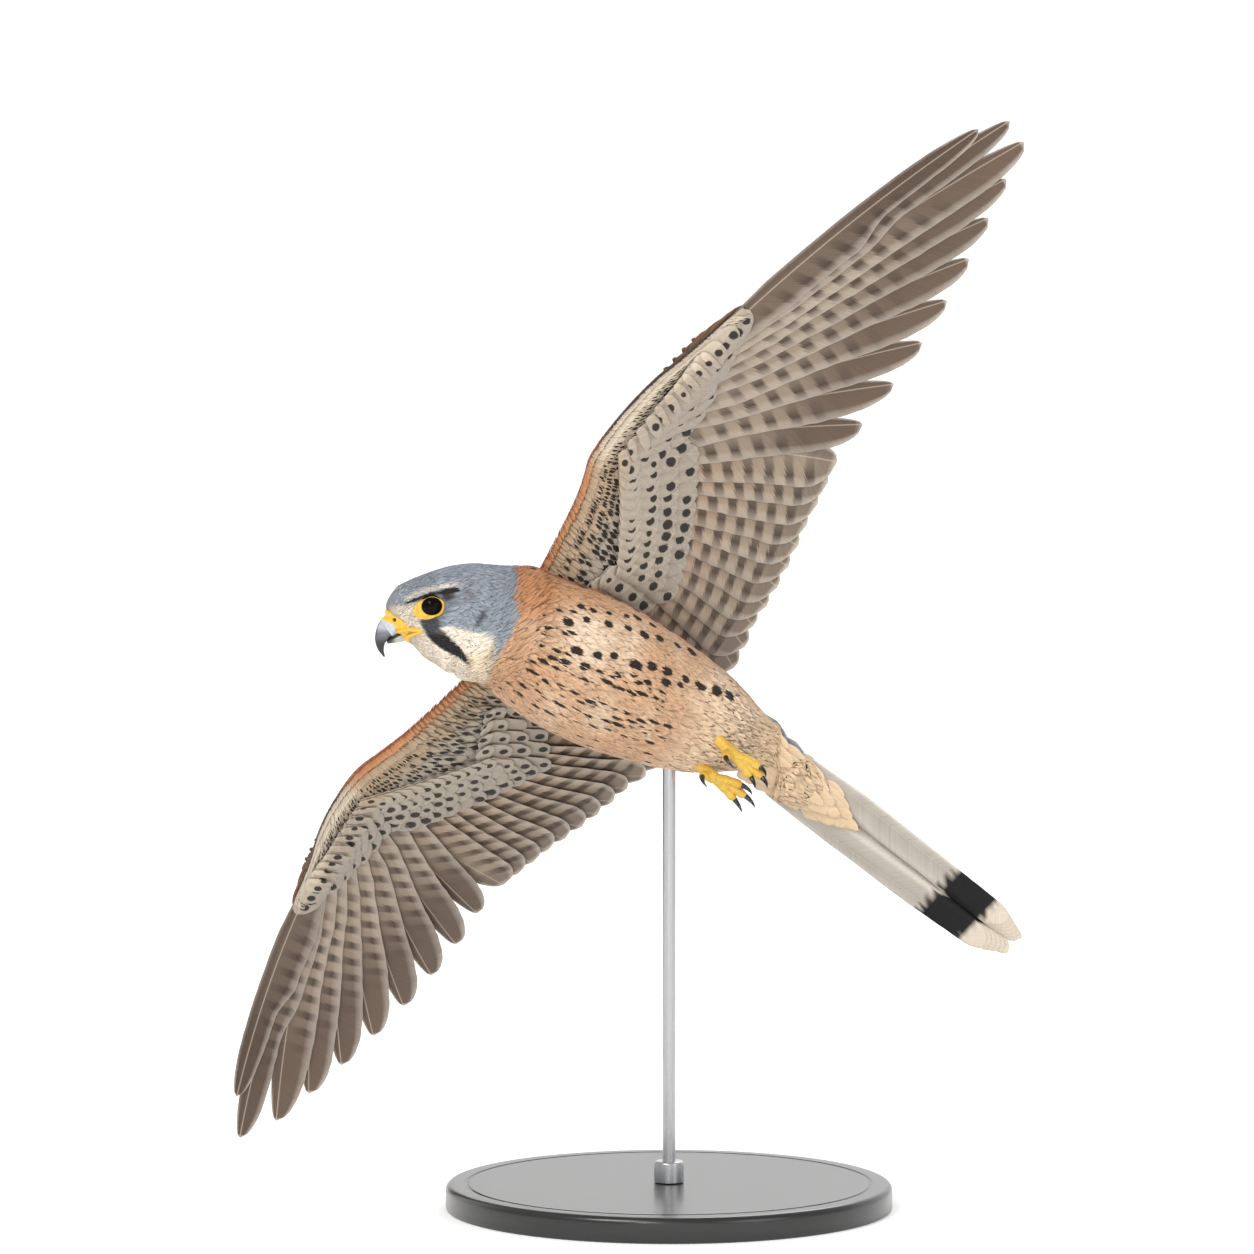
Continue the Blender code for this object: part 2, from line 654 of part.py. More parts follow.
def wing_node(word):
    """A wing: its core, its flight feathers, and a tier of coverts below and above them."""
    wing = Wing(WINGS[word])
    row = wing.flight_feathers()
    pieces = [piece(f"wing_{word}", *skin_over(core_rings(wing, row)))]
    for feather in row:
        pieces.append(flight_vane(wing, feather))
    last = len(row) - 1
    for at, feather in enumerate(row[TERTIALS:], TERTIALS):
        under = FEATHER_STEP * (1 + min(3.4, last - at))
        start, stop = 8.0 / feather.length, 0.5 if feather.length < 120 else 0.42
        pieces.append(covert_vane(wing, feather, start, stop, -under, (5.0, 8.0)))
        pieces.append(covert_vane(wing, feather, start, stop, 3.9 * FEATHER_STEP, (5.0, 8.0)))
    chestnut = material("wing plumage", (0.45, 0.30, 0.20))
    clear = [
        piece("trunk_space", *skin_over(trunk_rings(GAP))),
        piece("neck_space", *skin_over(neck_rings(2.5 * GAP, -GAP))),
    ]
    return node(f"wing_{word}", chestnut, pieces, clear)


# The tail: six pairs of feathers in a low stack, the outer pairs below the inner ones


def tail_axes():
    """The tail's backward, right and up directions, bent down and swung to the right."""
    back = turned(turned(-FORE, LEFT, -TAIL_DOWN), UP, TAIL_RIGHT)
    return back, unit(np.cross(back, UP)), unit(UP - back * np.dot(UP, back))


def tail_node():
    """The tail: a core out of the rump, six pairs of feathers, and coverts over their roots."""
    back, right, up = tail_axes()
    root = in_body(*TAIL_AT)

    def place(rows):
        return root + rows[:, :1] * right + rows[:, 1:2] * back + rows[:, 2:] * up

    core = []
    for behind, width, height, rise in smooth(TAIL_CORE, 2):
        middle = place(np.array([(0.0, behind, rise)]))[0]
        core.append(oval(middle, right, up, width, height, 16))
    pieces = [piece("tail", *skin_over(core))]
    stations = np.array((0.0, 0.35, 0.7, 0.92, 1.0))
    shape = np.array((0.8, 1.0, 1.0, 0.9, 0.35))
    thick = np.array((1, 1, 1, 1, 0.7)) * FEATHER_THICK
    for pair in range(TAIL_PAIRS):
        end = TAIL_LENGTH - TAIL_TIP_STEP * pair
        inner, outer = 0.25 + 0.5 * pair, TAIL_HALF - TAIL_STEP * (TAIL_PAIRS - 1 - pair)
        raised = np.full(len(stations), TAIL_TOP - FEATHER_STEP * pair)
        wide = (outer - inner) / 2 * shape
        for side in (1, -1):
            across = side * (outer + inner) / 2 * (1.04 - 0.24 * stations)
            shaft = np.column_stack((across, TAIL_ROOT + (end - TAIL_ROOT) * stations))
            pieces.append(vane(place, shaft, raised, wide, wide, 0.0, thick))
    lowest = TAIL_TOP - FEATHER_STEP * (TAIL_PAIRS - 1)
    for level, away, reach in (
        (TAIL_TOP, FEATHER_STEP, TAIL_COVERTS_OVER), (lowest, -FEATHER_STEP, TAIL_COVERTS_UNDER)
    ):
        for across, tier in ((-6.0, 1), (6.0, 1), (0.0, 2)):
            length = reach + 4 * tier - TAIL_COVERT_ROOT
            along = TAIL_COVERT_ROOT + length * COVERT_STATIONS
            shaft = np.column_stack((across * (1 - 0.25 * COVERT_STATIONS), along))
            wide = 5.6 * COVERT_SHAPE
            raised = np.full(len(wide), level + away * tier)
            pieces.append(vane(place, shaft, raised, wide, wide, 0.0, FEATHER_THICK))
    grey = material("tail plumage", (0.42, 0.43, 0.45))
    clear = [piece("trunk_space", *skin_over(trunk_rings(GAP)))]
    return node("tail", grey, pieces, clear)


# Legs and claws


def toe_path(foot, side, lean, toe):
    """A toe's arc back from the foot, bending down, and the directions at its end."""
    back = turned(unit(-FORE - lean * UP), UP, TOE_SPREAD[toe] * side)
    down = unit(-UP + back * np.dot(UP, back))
    bend = math.radians(TOE_BEND[toe])
    turn = bend * np.linspace(0, 1, 6)
    radius = TOE_LENGTHS[toe] / bend
    path = foot + radius * (np.outer(np.sin(turn), back) + np.outer(1 - np.cos(turn), down))
    ahead = back * math.cos(bend) + down * math.sin(bend)
    return path, ahead, down * math.cos(bend) - back * math.sin(bend)


def claw_path(start, ahead, curl):
    """A claw's arc, which hooks on past the toe's own bend."""
    hook = math.radians(CLAW_HOOK)
    turn = hook * np.linspace(0, 1, 6)
    radius = CLAW_LENGTH / hook
    return start + radius * (np.outer(np.sin(turn), ahead) + np.outer(1 - np.cos(turn), curl))


def leg_nodes(word):
    feet = FEET[word]
    yellow = material("leg scales", (0.75, 0.52, 0.08), 0.5)
    black = material("claw horn", (0.03, 0.03, 0.03), 0.3)
    shank, foot = in_body(*feet["shank"]), in_body(*feet["foot"])
    path = [shank + (foot - shank) * share for share in (0.0, 0.5, 1.0)]
    pieces = [tube(f"leg_{word}", path, (SHANK_RADIUS,) * 3, 8)]
    claws = []
    for toe in range(4):
        line, ahead, curl = toe_path(foot, feet["side"], feet["lean"], toe)
        pieces.append(tube("toe", line, TOE_RADIUS * TOE_JOINTS, 8))
        claws.append(claw_path(line[-1] + ahead * GAP, ahead, curl))
    clear = [piece("trunk_space", *skin_over(trunk_rings(GAP)))]
    node(f"leg_{word}", yellow, pieces, clear)
    size = CLAW_RADIUS * (1 - 0.85 * np.linspace(0, 1, 6) ** 1.2)
    for toe, claw in enumerate(claws, 1):
        node(f"claw_{word}_{toe}", black, [tube("claw", claw, size, 8)])


# The stand: a turned base with a collar, and a rod up into the belly


def stand_nodes():
    wood = material("stand lacquer", (0.03, 0.03, 0.03), 0.35)
    steel = material("stand rod steel", (0.6, 0.6, 0.62), 0.3, 1.0)
    rod_foot = BASE_HEIGHT - 6.0
    x, y = np.array((1.0, 0, 0)), np.array((0, 1.0, 0))

    def turned_solid(name, profile, sides):
        rings = [oval(np.array((0, 0, z)), x, y, radius, radius, sides) for radius, z in profile]
        return piece(name, *skin_over(rings))

    base = turned_solid("stand_base", (
        (BASE_RADIUS - 1, 0.0), (BASE_RADIUS, 1.0), (BASE_RADIUS, BASE_HEIGHT - BASE_BEVEL),
        (BASE_RADIUS - BASE_BEVEL, BASE_HEIGHT),
    ), 64)
    foot = BASE_HEIGHT + GAP
    collar = turned_solid("stand_collar", (
        (COLLAR_RADIUS, foot), (COLLAR_RADIUS, foot + COLLAR_HEIGHT - 1),
        (COLLAR_RADIUS - 1, foot + COLLAR_HEIGHT),
    ), 24)
    holes = [
        tube("rod_hole", [(0, 0, rod_foot - GAP), (0, 0, 60.0)], (ROD_RADIUS + GAP,) * 2, 16)
        for _ in range(2)
    ]
    node("stand_base", wood, [base], holes[:1])
    node("stand_collar", steel, [collar], holes[1:])
    rod = tube("stand_rod", [(0, 0, rod_foot), (0, 0, rod_top())], (ROD_RADIUS,) * 2, 16)
    node("stand_rod", steel, [rod])


for old in list(bpy.data.objects):
    bpy.data.objects.remove(old)
body_nodes()
bill_nodes()
for name in WINGS:
    wing_node(name)
tail_node()
for name in FEET:
    leg_nodes(name)
stand_nodes()
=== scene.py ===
"""The looks of a common kestrel, an adult cock, life size: a museum model on its stand.

Places are worked out in millimetres and turned to metres where a mesh is made. The body's
own directions are behind the breast, to the bird's left, and towards its back.
"""

import math

import bpy
import numpy as np
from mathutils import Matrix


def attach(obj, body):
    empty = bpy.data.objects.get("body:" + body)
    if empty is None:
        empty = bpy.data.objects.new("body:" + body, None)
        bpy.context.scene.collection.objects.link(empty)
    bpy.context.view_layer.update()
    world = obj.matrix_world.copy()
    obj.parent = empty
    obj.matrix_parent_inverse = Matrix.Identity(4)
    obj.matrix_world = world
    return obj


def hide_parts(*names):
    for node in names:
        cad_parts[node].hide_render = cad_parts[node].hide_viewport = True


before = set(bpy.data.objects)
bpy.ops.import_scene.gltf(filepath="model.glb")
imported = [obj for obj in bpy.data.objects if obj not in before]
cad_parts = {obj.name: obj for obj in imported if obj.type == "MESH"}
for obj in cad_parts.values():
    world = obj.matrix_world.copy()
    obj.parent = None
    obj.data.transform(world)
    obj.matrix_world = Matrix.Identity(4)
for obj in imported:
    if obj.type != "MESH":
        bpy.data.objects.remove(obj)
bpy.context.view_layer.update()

# The studio: one sweep of pale matt paper, rolled up behind the model, under soft boxes. The
# view is nearly level, as in the photograph, from in front of the bird's spread underside.

MM = 0.001


def linear(colour):
    """sRGB hex to linear light: v / 12.92 up to 0.04045, else ((v + 0.055) / 1.055) ** 2.4."""
    values = np.array([int(colour[at : at + 2], 16) for at in (1, 3, 5)]) / 255
    return np.where(values <= 0.04045, values / 12.92, ((values + 0.055) / 1.055) ** 2.4)


def new_material(name, colour, roughness, **settings):
    """A Principled material in one colour, whose other sockets are named with underscores."""
    made = bpy.data.materials.new(name)
    made.use_nodes = True
    shader = made.node_tree.nodes["Principled BSDF"]
    shader.inputs["Base Color"].default_value = (*linear(colour), 1.0)
    shader.inputs["Roughness"].default_value = roughness
    for socket, value in settings.items():
        shader.inputs[socket.replace("_", " ")].default_value = value
    return made, made.node_tree, shader


def add(tree, kind, settings=None, links=None):
    """One shader node: settings go to its properties or its sockets, links to its sockets."""
    made = tree.nodes.new("ShaderNode" + kind)
    for key, value in (settings or {}).items():
        if isinstance(key, str) and hasattr(made, key):
            setattr(made, key, value)
        else:
            made.inputs[key].default_value = value
    for key, socket in (links or {}).items():
        tree.links.new(socket, made.inputs[key])
    return made


def facing_out(points, faces):
    """The faces, all flipped where they close a negative volume: the sum of a . (b x c) / 6."""
    points, volume = points - points.mean(0), 0.0
    for face in faces:
        a, *rest = (points[face[:, at]] for at in range(face.shape[1]))
        for b, c in zip(rest, rest[1:]):
            volume += np.einsum("ij,ij->", a, np.cross(b, c)) / 6
    return [face[:, ::-1] for face in faces] if volume < 0 else faces


def joined(name, points, faces, maps=None, closed=True, **attributes):
    """One smooth mesh from whole arrays: points in mm, and faces as arrays of equal polygons.

    maps holds (u, v) rows. Tint holds colours and other attributes vectors, a row to a point.
    """
    mesh = bpy.data.meshes.new(name)
    points = np.asarray(points, float).reshape(-1, 3)
    faces = facing_out(points, faces) if closed else faces
    corners = np.concatenate([np.asarray(face, np.int32).ravel() for face in faces])
    counts = np.concatenate([np.full(len(face), face.shape[1]) for face in faces])
    mesh.vertices.add(len(points))
    mesh.vertices.foreach_set("co", (points.astype(np.float32) * MM).ravel())
    mesh.loops.add(len(corners))
    mesh.loops.foreach_set("vertex_index", corners)
    mesh.polygons.add(len(counts))
    starts = np.concatenate(([0], np.cumsum(counts)[:-1])).astype(np.int32)
    mesh.polygons.foreach_set("loop_start", starts)
    mesh.update(calc_edges=True)
    mesh.shade_smooth()
    for key, rows in (maps or {}).items():
        layer = mesh.uv_layers.new(name=key)
        layer.data.foreach_set("uv", np.asarray(rows, np.float32)[corners].ravel())
    for key, rows in attributes.items():
        kind, field = "FLOAT_VECTOR", "vector"
        if key == "Tint":
            kind, field, rows = "FLOAT_COLOR", "color", np.column_stack((rows, np.ones(len(rows))))
        layer = mesh.attributes.new(key, kind, "POINT")
        layer.data.foreach_set(field, np.asarray(rows, np.float32).ravel())
    made = bpy.data.objects.new(name, mesh)
    bpy.context.scene.collection.objects.link(made)
    return made


def grid_faces(rows, columns, wrap=False):
    """Quads over a grid of points, row after row; wrap joins the last column to the first."""
    row, column = np.meshgrid(np.arange(rows - 1), np.arange(columns - (not wrap)), indexing="ij")
    a, b = row * columns + column, row * columns + (column + 1) % columns
    return np.stack((a, b, b + columns, a + columns), -1).reshape(-1, 4)


def turns_of(count):
    """That many even turns round a circle, in radians."""
    return np.linspace(0, 2 * np.pi, count, endpoint=False)


def closed_faces(rows, sides, count=1):
    """Quads round each of count forms made of rings, and a polygon over each of their ends."""
    base, ends = np.arange(count)[:, None, None] * rows * sides, np.arange(sides)
    caps = base + np.stack((ends[::-1], ends + (rows - 1) * sides))
    return [(base + grid_faces(rows, sides, wrap=True)).reshape(-1, 4), caps.reshape(-1, sides)]


def grained(name, colour, roughness, grain, shades, relief=None, stretch=None, invert=False,
            **settings):
    """A material under a fine texture on Object coordinates, which stretch may scale.

    grain is the texture's kind and settings. It blends the two sRGB hexes of shades, or scales
    the piece's own Tint where shades is a range and what it maps to, from dark to bright.
    relief is the bump's strength and its depth in mm.
    """
    made, tree, shader = new_material(name, colour, roughness, **settings)
    at = add(tree, "TexCoord").outputs["Object"]
    if stretch:
        at = add(tree, "Mapping", {"Scale": stretch}, {"Vector": at}).outputs["Vector"]
    height = add(tree, grain[0], grain[1], {"Vector": at}).outputs[0]
    if isinstance(shades[0], str):
        shown = add(tree, "ValToRGB", links={"Fac": height}).outputs["Color"]
        for stop, shade in zip(shown.node.color_ramp.elements, shades):
            stop.color = (*linear(shade), 1)
    else:
        tint = add(tree, "Attribute", {"attribute_name": "Tint"})
        soft = add(tree, "MapRange", dict(enumerate(shades, 1)), {0: height})
        shown = add(tree, "VectorMath", {"operation": "SCALE"},
                    {0: tint.outputs["Color"], "Scale": soft.outputs[0]}).outputs[0]
    tree.links.new(shown, shader.inputs["Base Color"])
    if relief:
        bump = add(tree, "Bump", {"Strength": relief[0], "Distance": relief[1] * MM,
                                  "invert": invert}, {"Height": height})
        tree.links.new(bump.outputs["Normal"], shader.inputs["Normal"])
    return made


FLOOR_NEAR, FLOOR_FAR, WALL_HEIGHT, SWEEP_RADIUS, SWEEP_WIDE = -24000, 2600, 4200, 1200, 24000
bend = np.linspace(0, np.pi / 2, 13)
profile = np.vstack((
    [(FLOOR_NEAR, 0.0)],
    np.column_stack((FLOOR_FAR + SWEEP_RADIUS * np.sin(bend), SWEEP_RADIUS * (1 - np.cos(bend)))),
    [(FLOOR_FAR + SWEEP_RADIUS, WALL_HEIGHT)],
))
paper = np.zeros((len(profile), 2, 3))
paper[:, :, 0] = (-SWEEP_WIDE / 2, SWEEP_WIDE / 2)
paper[:, :, 1:] = profile[:, None]
floor = joined("studio_floor", paper, [grid_faces(len(profile), 2)], closed=False)
# Seamless paper, rolled and matt: nearly white, with the faintest mottle of its pulp
paper_look = grained(
    "seamless_paper", "#fbfbfa", 0.9, ("TexNoise", {"Scale": 90.0, "Detail": 3.0}),
    ("#f8f8f7", "#fdfdfd"), Emission_Color=(1.0, 1.0, 1.0, 1.0), Emission_Strength=0.28,
)
floor.data.materials.append(paper_look)

world = bpy.data.worlds.new("studio_air")
world.use_nodes = True
world.node_tree.nodes["Background"].inputs["Color"].default_value = (1.0, 1.0, 1.0, 1.0)
world.node_tree.nodes["Background"].inputs["Strength"].default_value = 0.55
bpy.context.scene.world = world
bpy.context.scene.view_settings.view_transform = "Standard"

# Each soft box: place and aim in metres, its size, and its power in watts
SOFT_BOXES = {
    "key_above_left": ((-1.3, -1.9, 2.3), (0.0, 0.0, 0.30), 1.3, 36.0),
    "fill_right": ((2.2, -2.2, 1.1), (0.0, 0.0, 0.28), 1.8, 15.0),
    "fill_low_front": ((0.1, -2.4, 0.15), (0.0, 0.0, 0.30), 1.4, 4.0),
    "catch_light": ((-0.55, -2.6, 1.15), (-0.1, 0.0, 0.32), 0.12, 9.0),
    "rim_behind": ((0.5, 1.9, 1.9), (0.0, 0.0, 0.30), 1.2, 16.0),
}
for name, (at, aim, size, watts) in SOFT_BOXES.items():
    lamp = bpy.data.lights.new(name, "AREA")
    lamp.shape, lamp.size, lamp.energy = "DISK", size, watts
    box = bpy.data.objects.new(name, lamp)
    box.location = at
    facing = np.subtract(aim, at)
    box.rotation_euler = (
        math.acos(-facing[2] / np.linalg.norm(facing)), 0.0, math.atan2(-facing[0], facing[1])
    )
    bpy.context.scene.collection.objects.link(box)

# The camera: 3 m from a point by the breast, looking down by 4 degrees
CAMERA_AIM, CAMERA_DISTANCE, CAMERA_DOWN = (-19.77, -15.84, 274.93), 3000.0, 4.0
SENSOR_WIDE, VIEW_WIDE = 36.0, 583.1
lens = bpy.data.cameras.new("portrait_lens")
lens.sensor_width = SENSOR_WIDE
lens.lens = SENSOR_WIDE * CAMERA_DISTANCE / VIEW_WIDE
lens.clip_end = 50.0
camera = bpy.data.objects.new("portrait_camera", lens)
down = math.radians(CAMERA_DOWN)
away = np.array((0.0, -math.cos(down), math.sin(down))) * CAMERA_DISTANCE
camera.location = (np.array(CAMERA_AIM) + away) * MM
camera.rotation_euler = (math.pi / 2 - down, 0.0, 0.0)
bpy.context.scene.collection.objects.link(camera)
bpy.context.scene.camera = camera

# The skin: one loft from the brow over neck and trunk to the root of the tail. The real one
# is stretched over a carved body, and lies under the plumage by the depth of its feathers.

HEADING, CLIMB, BANK = 20.7, 25.3, 59.7
PERCH_HEIGHT, PERCH_BEHIND = 237.0, 76.0
HEAD_AT, HEAD_NOD, HEAD_ROLL = (-37.3, -5.0, -1.2), 3.0, 4.0
# Trunk rings: behind the breast, half width, half height, rise of the middle
TRUNK = (
    (-6, 30.0, 28.0, 0.0), (10, 34.5, 31.0, 0.0), (30, 36.0, 32.0, -0.5),
    (50, 35.0, 31.5, -1.0), (70, 32.0, 29.0, -1.0), (90, 27.5, 25.0, -0.5),
    (105, 22.5, 20.5, 0.5), (120, 16.0, 14.5, 1.7), (133, 11.2, 10.0, 3.0),
)
# Skull rings: ahead and above the head's middle, half width, half height, backward lean
SKULL = (
    (-13.5, -3.0, 24.5, 27.0, 27.0), (-5.0, 0.5, 19.5, 24.3, 14.0),
    (4.0, 0.0, 17.4, 23.4, 4.0), (12.0, 0.9, 15.2, 20.2, 0.0),
    (18.5, 1.4, 12.4, 17.0, -6.0), (23.8, 1.0, 9.2, 14.0, -16.0),
    (28.0, -0.4, 6.2, 10.2, -25.0), (30.0, -1.0, 3.6, 6.2, -27.0), (30.6, -1.2, 0.2, 0.4, -27.0),
)
# The tail's root in the body, how it bends, and its core: behind, half width and height, rise
TAIL_AT, TAIL_DOWN, TAIL_RIGHT = (120.0, -1.6, 3.0), 10.0, 7.8
TAIL_CORE = (
    (25, 13.0, 7.6, -0.6), (36, 12.0, 5.2, -1.2), (48, 8.0, 2.2, -0.8), (50, 0.3, 0.2, -0.8),
)
EYE_AT, EYE_OUT, EYE_RADIUS = (10.9, 5.5), 10.4, 6.0


def unit(vector):
    return np.asarray(vector, float) / np.linalg.norm(vector)


def turned(vector, axis, degrees):
    """The vector turned about an axis by the right-hand rule (Rodrigues' formula)."""
    axis, angle = unit(axis), math.radians(degrees)
    along = axis * np.dot(axis, vector)
    return along + (vector - along) * math.cos(angle) + np.cross(axis, vector) * math.sin(angle)


def smooth(values, steps):
    """A Catmull-Rom curve through rows of values, with steps points in each span."""
    values = np.asarray(values, float)
    ends = np.vstack((2 * values[0] - values[1], values, 2 * values[-1] - values[-2]))
    t = np.arange(steps)[:, None] / steps
    spans = []
    for a, b, c, d in zip(ends, ends[1:], ends[2:], ends[3:]):
        curve = (2 * a - 5 * b + 4 * c - d) * t**2 + (3 * b - a - 3 * c + d) * t**3
        spans.append(b + ((c - a) * t + curve) / 2)
    return np.vstack((*spans, values[-1:]))


def gate(value, start, stop):
    """0 before start and 1 past stop, eased between them by 3 t^2 - 2 t^3."""
    t = np.clip((np.asarray(value, float) - start) / (stop - start), 0, 1)
    return t * t * (3 - 2 * t)


def bump_at(a, b, middle, size):
    """A hill of height 1 over the plane (a, b): exp(-(a^2 + b^2)), in units of its size."""
    return np.exp(-(((a - middle[0]) / size[0]) ** 2) - ((b - middle[1]) / size[1]) ** 2)


level = turned(np.array((-1.0, 0.0, 0.0)), (0, 0, 1), HEADING)
left_level = unit(np.cross((0, 0, 1), level))
FORE = turned(level, left_level, -CLIMB)
LEFT = turned(left_level, FORE, BANK)
UP = np.cross(FORE, LEFT)
HEAD_FORE = turned(np.array((-1.0, 0.0, 0.0)), (0, -1, 0), HEAD_NOD)
HEAD_LEFT = turned(np.array((0.0, -1.0, 0.0)), HEAD_FORE, HEAD_ROLL)
HEAD_UP = np.cross(HEAD_FORE, HEAD_LEFT)
PERCH = np.array((0.0, 0.0, PERCH_HEIGHT))


def in_body(behind, left, up):
    """World millimetres of a place given in the body's own directions."""
    return PERCH + FORE * (PERCH_BEHIND - behind) + LEFT * left + UP * up


def in_head(ahead, left, up):
    return in_body(*HEAD_AT) + HEAD_FORE * ahead + HEAD_LEFT * left + HEAD_UP * up


def head_place(points):
    """The head's own (ahead, left, up) of world points."""
    return (points - in_body(*HEAD_AT)) @ np.stack((HEAD_FORE, HEAD_LEFT, HEAD_UP), 1)


def body_place(points):
    """The body's own (behind, left, up) of world points."""
    rows = (points - PERCH) @ np.stack((-FORE, LEFT, UP), 1)
    return rows + (PERCH_BEHIND, 0, 0)


def tail_axes():
    """The tail's backward, right and up directions, bent down and swung to the right."""
    back = turned(turned(-FORE, LEFT, -TAIL_DOWN), UP, TAIL_RIGHT)
    return back, unit(np.cross(back, UP)), unit(UP - back * np.dot(UP, back))


TAIL_BACK, TAIL_ACROSS, TAIL_UP = tail_axes()
TAIL_ORIGIN = in_body(*TAIL_AT)


def loft_rows():
    """Middle, leftward and upward half axes of each ring, from the brow to the tail."""
    rows = []
    for ahead, above, wide, high, lean in SKULL[::-1]:
        up = turned(HEAD_UP, HEAD_LEFT, -lean)
        rows.append((*in_head(ahead, 0, above), *HEAD_LEFT * wide, *up * high))
    behind, width, height, rise = TRUNK[0]
    start, end = np.array(rows[-1][:3]), in_body(behind, 0, rise)
    for share in (1 / 3, 2 / 3):
        across = unit(HEAD_LEFT * (1 - share) + LEFT * share)
        along = turned(HEAD_UP, HEAD_LEFT, -SKULL[0][4]) * (1 - share) + UP * share
        along = unit(along - across * np.dot(along, across))
        size = np.array(SKULL[0][2:4]) * (1 - share) + np.array((width, height)) * share
        middle = start * (1 - share) + end * share
        rows.append((*middle, *across * size[0], *along * size[1]))
    for behind, width, height, rise in TRUNK:
        rows.append((*in_body(behind, 0, rise), *LEFT * width, *UP * height))
    for behind, width, height, rise in TAIL_CORE:
        middle = TAIL_ORIGIN + TAIL_BACK * behind + TAIL_UP * rise
        rows.append((*middle, *-TAIL_ACROSS * width, *TAIL_UP * height))
    return np.array(rows)


LOFT = smooth(loft_rows(), 8)
STATION = np.concatenate(([0], np.cumsum(np.linalg.norm(np.diff(LOFT[:, :3], axis=0), axis=1))))
LOFT_SLOPE = np.gradient(LOFT, STATION, axis=0)


def station_of(behind):
    """The station along the loft of a place so far behind the breast."""
    return np.interp(behind, body_place(LOFT[:, :3])[:, 0], STATION)


def brow_line(ahead):
    """Height of the dark line over the eye, which falls towards the cere."""
    return np.interp(ahead, (-1.0, 6.0, 11.6, 18.4, 24.0), (12.2, 11.7, 11.1, 8.9, 7.1))


def face_relief(points):
    """How far the face stands off the plain loft: brow and cheek out, eye and lore in."""
    ahead, left, up = head_place(points).T
    side = gate(abs(left), 3.0, 7.0)
    brow = 1.4 * bump_at(ahead, up - brow_line(ahead), (13.5, 0.6), (8.0, 1.5))
    eye = np.hypot(ahead - EYE_AT[0], up - EYE_AT[1])
    socket = -2.6 * (1 - gate(eye, 3.6, 6.4))
    lore = -0.7 * bump_at(ahead, up, (21.5, 3.0), (4.0, 4.0))
    cheek = 0.8 * bump_at(ahead, up, (2.0, -6.0), (7.0, 6.0))
    forehead = 1.2 * bump_at(ahead, up, (23.0, 12.0), (6.0, 4.0))
    throat = 2.6 * bump_at(ahead, up, (0.0, -25.5), (9.0, 7.0))
    throat = throat + 1.2 * bump_at(ahead, up, (15.0, -17.0), (9.0, 5.0))
    behind, across, above = body_place(points).T
    # The scapulars stand off the shoulder before the left wing, and carry on the nape's line
    high = (across * 0.93 + above * 0.36) / np.maximum(np.hypot(across, above), 1.0)
    shoulder = 4.4 * np.exp(-(((behind + 13.0) / 12.0) ** 2)) * gate(high, 0.5, 0.97)
    return side * (brow + socket + lore + cheek) + forehead + throat + shoulder


def skin_at(station, turn):
    """Place and outward direction at a station in mm and a turn in radians from the left.

    The place is middle + leftward * cos(turn) + upward * sin(turn), eased by the face's relief.
    """
    shape = np.shape(station)
    station, turn = np.ravel(station), np.ravel(turn)
    rows = np.stack([np.interp(station, STATION, column) for column in LOFT.T], 1)
    slope = np.stack([np.interp(station, STATION, column) for column in LOFT_SLOPE.T], 1)
    cos, sin = np.cos(turn)[:, None], np.sin(turn)[:, None]
    place = rows[:, :3] + rows[:, 3:6] * cos + rows[:, 6:] * sin
    along = slope[:, :3] + slope[:, 3:6] * cos + slope[:, 6:] * sin
    round_it = rows[:, 6:] * cos - rows[:, 3:6] * sin
    out = np.cross(round_it, along)
    out *= np.sign(np.sum(out * (place - rows[:, :3]), 1) + 1e-9)[:, None]
    out /= np.linalg.norm(out, axis=1)[:, None] + 1e-9
    place = place + out * face_relief(place)[:, None]
    return place.reshape(*shape, 3), out.reshape(*shape, 3)


def coat_depth(station):
    """How deep the plumage lies: 0.4 mm on the face, 1.4 mm from the breast backwards."""
    return 0.4 + 1.0 * gate(station, station_of(-40), station_of(0))


def mottle(points, scale, seed):
    """Smooth noise between -1 and 1: the mean of six waves in random directions."""
    draw = np.random.default_rng(seed)
    total = 0
    for _ in range(6):
        way = unit(draw.normal(size=3)) * 2 * np.pi / (scale * draw.uniform(0.7, 1.5))
        total = total + np.sin(points @ way + draw.uniform(0, 6.3))
    return total / 6 * 1.6


def blend(under, over, share):
    """From the rows of one colour towards another, or towards an sRGB hex, by a share of it."""
    over = linear(over) if isinstance(over, str) else over
    return under + (over - under) * np.asarray(share)[..., None]


